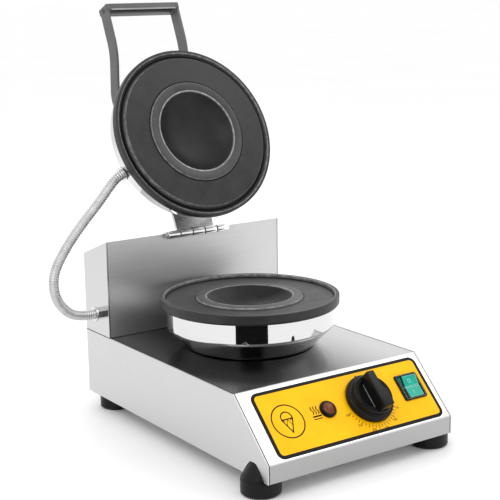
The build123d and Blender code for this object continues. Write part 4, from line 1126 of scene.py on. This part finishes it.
def make_edges(bright, dark):
    """Folded edges that catch the light, and dark strips painted as the shade in the seams between the
    sheets.
    """
    deck_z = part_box("deck_wrap")[1].z
    side_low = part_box("side_panel_left")[0]
    housing_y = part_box("housing_front")[0].y
    rear_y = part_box("housing_shell")[1].y
    half = -side_low.x
    lip_y = side_low.y
    fold_y = lip_y + SLOPE_RUN
    edge_x = half - EDGE_SINK
    edge_z = deck_z - EDGE_SINK
    edge_y = lip_y + EDGE_SINK
    bm = bmesh.new()
    for x in (-edge_x, edge_x):
        run = [(x, housing_y, edge_z), (x, fold_y, edge_z), (x, edge_y, LIP_Z)]
        add_tube(bm, run + [(x, edge_y, side_low.z + EDGE_SINK)], EDGE_R)
    for y, z in ((fold_y + 0.2 * MM, edge_z), (edge_y, LIP_Z - 0.3 * MM)):
        add_tube(bm, [(-edge_x, y, z), (edge_x, y, z)], EDGE_R)
    ride(new_object("folded_edges", bm, bright), "base")
    # Dark tubes painted as the shade in the seams between the sheets.
    bm = bmesh.new()
    for sign in (-1, 1):
        x = sign * (half - SEAM_INSET)
        top = deck_z - 0.2 * MM
        front = lip_y + 0.25 * MM
        add_tube(bm, [(x, housing_y, top), (x, fold_y, top)], SEAM_R)
        add_tube(bm, [(x, fold_y, top), (x, lip_y + 0.15 * MM, LIP_Z)], SEAM_R)
        add_tube(bm, [(x, front, LIP_Z), (x, front, side_low.z)], SEAM_R)
        add_tube(bm, [(sign * half, housing_y, deck_z), (sign * half, rear_y, deck_z)], SEAM_R)
    add_tube(bm, [(-half, housing_y, deck_z), (half, housing_y, deck_z)], FRONT_SEAM_R)
    ride(new_object("sheet_seam_shade", bm, dark), "base")


# --- Paint the CAD nodes ---
LABEL_YELLOWS = ((0.93, 0.47, 0.002), (0.98, 0.53, 0.003))


def paint(material, *names):
    """Give CAD nodes a material in all their slots."""
    for name in names:
        slots = NODES[name].data.materials
        if not slots:
            slots.append(material)
        for i in range(len(slots)):
            slots[i] = material


def paint_metal():
    """Steel, screws and the conduit; returns the side's steel, which the folded edges share."""
    side = brushed_steel("side_steel", 0.60, 0.65, (0.28, 0.36), LONG_GRAIN, 0.03)
    deck = shaded_deck()
    front = brushed_steel("front_steel", 0.62, 0.67, (0.40, 0.48), LONG_GRAIN, 0.015)
    inner = brushed_steel("inner_steel", 0.40, 0.50, (0.35, 0.50), (60, 60, 60))
    hinge = brushed_steel("hinge_steel", 0.50, 0.62, (0.22, 0.32), (20, 400, 400))
    bright = brushed_steel("bright_hardware", 0.66, 0.78, (0.18, 0.28), (200, 200, 200))
    paint(side, "side_panel_left", "side_panel_right", "rear_panel", "bottom_plate", "housing_shell")
    paint(front, "housing_front", "housing_top")
    paint(deck, "deck_wrap")
    paint(inner, "lower_clamp_ring", "upper_clamp_ring", "foot_brackets", "thermostat_bulb")
    paint(hinge, "hinge_leaf_fixed", "hinge_leaf_moving", "lid_bracket")
    paint(bright, "hinge_pin", "hinge_screws", "bracket_screws", "handle_screws", "foot_screws")
    paint(bright, "lower_studs", "lower_stud_nuts", "upper_studs", "upper_stud_nuts")
    paint(bright, "conduit_gland_lower", "conduit_gland_upper", "conduit_locknut_lower")
    paint(bright, "conduit_locknut_upper", "thermostat_shaft")
    paint(polished_steel("lower_polish", LOWER), "lower_shell")
    paint(polished_steel("upper_polish", LID), "upper_shell")
    paint(conduit_metal("conduit_cad"), "conduit")
    return side


def paint_plastic():
    """Plastic, rubber, paint and ceramics; returns the materials that the added pieces share."""
    black = plastic("black_plastic", grey(0.003), grey(0.006), (0.30, 0.42), specular=0.15)
    knob = plastic("knob_plastic", grey(0.004), grey(0.008), (0.26, 0.36), 900.0, 0.12, specular=0.18)
    rubber = plastic("foot_rubber", grey(0.005), grey(0.009), (0.35, 0.50), 500.0, 0.3, specular=0.18)
    handle = plastic("handle_plastic", grey(0.075), grey(0.090), (0.38, 0.50), 800.0, 0.3)
    arm = plastic("arm_paint", grey(0.080), grey(0.100), (0.40, 0.52), 500.0, 0.3)
    yellow = plastic("label_yellow", *LABEL_YELLOWS, (0.35, 0.45), 600.0, 0.05, specular=0.12)
    element = plastic("element_sheath", grey(0.10), grey(0.16), (0.5, 0.7))
    ceramic = plastic("ceramic", (0.70, 0.69, 0.64), (0.80, 0.79, 0.75), (0.15, 0.25), 300.0, 0.1, 0.5)
    # The pointer's paint, which also colours the painted highlight line beside the knob's bar.
    pointer = plastic("pointer_paint", grey(0.26), grey(0.34), (0.4, 0.5))
    paint(black, "pilot_bezel", "switch_case", "mains_gland", "thermostat_body")
    paint(knob, "knob")
    paint(pointer, "knob_pointer")
    paint(rubber, "foot_front_left", "foot_front_right", "foot_rear_left", "foot_rear_right")
    paint(handle, "handle_grip")
    paint(arm, "handle_arm_left", "handle_arm_right", "grip_screws")
    paint(yellow, "fascia_label")
    paint(element, "lower_element", "upper_element")
    paint(ceramic, "terminal_block", "pilot_lamp")
    paint(fibre("ceramic_wool"), "lower_insulation", "upper_insulation")
    paint(clear_plastic("amber_lens", (0.10, 0.022, 0.004), (0.24, 0.060, 0.008)), "pilot_lens")
    # The rocker is no lamp; its faint glow is painted light that brightens its green.
    green = clear_plastic("rocker_green", (0.000, 0.30, 0.21), (0.001, 0.42, 0.31), painted_glow=0.12)
    paint(green, "switch_rocker")
    return black, knob, handle, pointer


def shade_frame():
    """Smooth shading on every CAD node, up to a sharp angle."""
    for node in NODES.values():
        node.data.shade_smooth()
        node.data.set_sharp_from_angle(angle=math.radians(28))


def make_machine():
    """Paint the CAD nodes, and add the plates, knob, rocker marks, painted highlights and shade, hinge
    barrel, grip and edges.
    """
    side = paint_metal()
    black, knob, handle, pointer = paint_plastic()
    # Painted highlight for the rocker's and bezel's rims, and print for the rocker's marks.
    light = plastic("highlight_and_print_paint", (0.30, 0.52, 0.46), (0.36, 0.60, 0.52), (0.3, 0.4))
    barrel = brushed_steel("barrel_steel", 0.80, 0.88, (0.07, 0.13), (200, 200, 200), 0.02)
    # Painted highlight for the grip's lower front edge.
    grip_highlight = plastic("grip_highlight", grey(0.30), grey(0.36), (0.25, 0.35))
    make_plates()
    make_knob(knob, pointer)
    make_rocker_highlights_and_marks(light)
    make_rocker_shade(black)
    make_switch_highlight(light)
    make_barrel(barrel, black)
    make_grip(handle, black, grip_highlight)
    make_edges(side, black)


# --- Stage ---
FLOOR_REACH = 60.0
FLOOR_STEPS = 8
FLOOR_DROP = 0.2 * MM
WORLD_STRENGTH = 1.05
MIDDLE = (0, 0, 0.15)
# Each light's name, place, target, size and power, in metres and watts.
LIGHTS = [
    ("key", (-1.4, -1.0, 1.8), MIDDLE, (1.0, 1.0), 9),
    ("fascia_glow", (1.14, -0.6, 1.7), (0, -0.2, 0.06), (1.3, 1.0), 6),
    ("rim", (0.4, 1.9, 1.7), MIDDLE, (1.4, 0.8), 8),
]
CARD_PLACE = (-0.205, -0.335, 0.10)
CARD_TARGET = (0, -0.016, 0.125)
CARD_SIZE = 0.26


def make_floor():
    """A plain pale floor."""
    bm = bmesh.new()
    bmesh.ops.create_grid(bm, x_segments=FLOOR_STEPS, y_segments=FLOOR_STEPS, size=FLOOR_REACH)
    material, tree, shader = new_material("floor", Roughness=0.6, Specular_IOR_Level=0.25)
    clouds = noise(tree, object_coordinates(tree), 1.5, 2.0, 0.5)
    tree.links.new(tones(tree, clouds, grey(0.93), grey(0.95)), shader.inputs["Base Color"])
    floor = new_object("floor", bm, material, smooth=False)
    floor.location.z = -FLOOR_DROP


def aim(thing, place, target):
    """Put a light or a card at a place, facing a target."""
    thing.location = place
    direction = Vector(target) - Vector(place)
    thing.rotation_euler = direction.to_track_quat("-Z", "Y").to_euler()


def area_light(name, place, target, size, power):
    """A rectangular white light."""
    data = bpy.data.lights.new(name, "AREA")
    data.shape = "RECTANGLE"
    data.size, data.size_y = size
    data.energy = power
    aim(add_object(name, data), place, target)


def make_card():
    """A black square outside the view, which only reflections see: the shell's dark band."""
    bm = bmesh.new()
    bmesh.ops.create_grid(bm, x_segments=1, y_segments=1, size=0.5)
    material, tree, shader = new_material("band_card", Roughness=0.9, Specular_IOR_Level=0.0)
    cloth = noise(tree, object_coordinates(tree), 30.0)
    tree.links.new(tones(tree, cloth, grey(0.006), grey(0.010)), shader.inputs["Base Color"])
    card = new_object("band_card", bm, material, smooth=False)
    aim(card, CARD_PLACE, CARD_TARGET)
    card.scale = (CARD_SIZE, CARD_SIZE, 1)
    card.visible_camera = False
    card.visible_diffuse = False
    card.visible_shadow = False


def make_lights():
    """Soft studio light from above and both sides, on a bright surround."""
    world = bpy.data.worlds.new("studio")
    bpy.context.scene.world = world
    world.use_nodes = True
    back = world.node_tree.nodes["Background"]
    back.inputs["Color"].default_value = (1.0, 1.0, 1.0, 1.0)
    back.inputs["Strength"].default_value = WORLD_STRENGTH
    for light in LIGHTS:
        area_light(*light)
    make_card()
    bpy.context.scene.view_settings.view_transform = "Standard"
    bpy.context.scene.view_settings.look = "None"


make_camera()
make_conduit(conduit_metal("conduit_metal"))
make_machine()
shade_frame()
ink = plastic("label_ink", grey(0.004), grey(0.007), (0.40, 0.50), 600.0, 0.05, specular=0.15)
make_border(ink)
make_dial(ink)
make_emblem(ink)
make_heat_mark(ink)
make_floor()
make_lights()
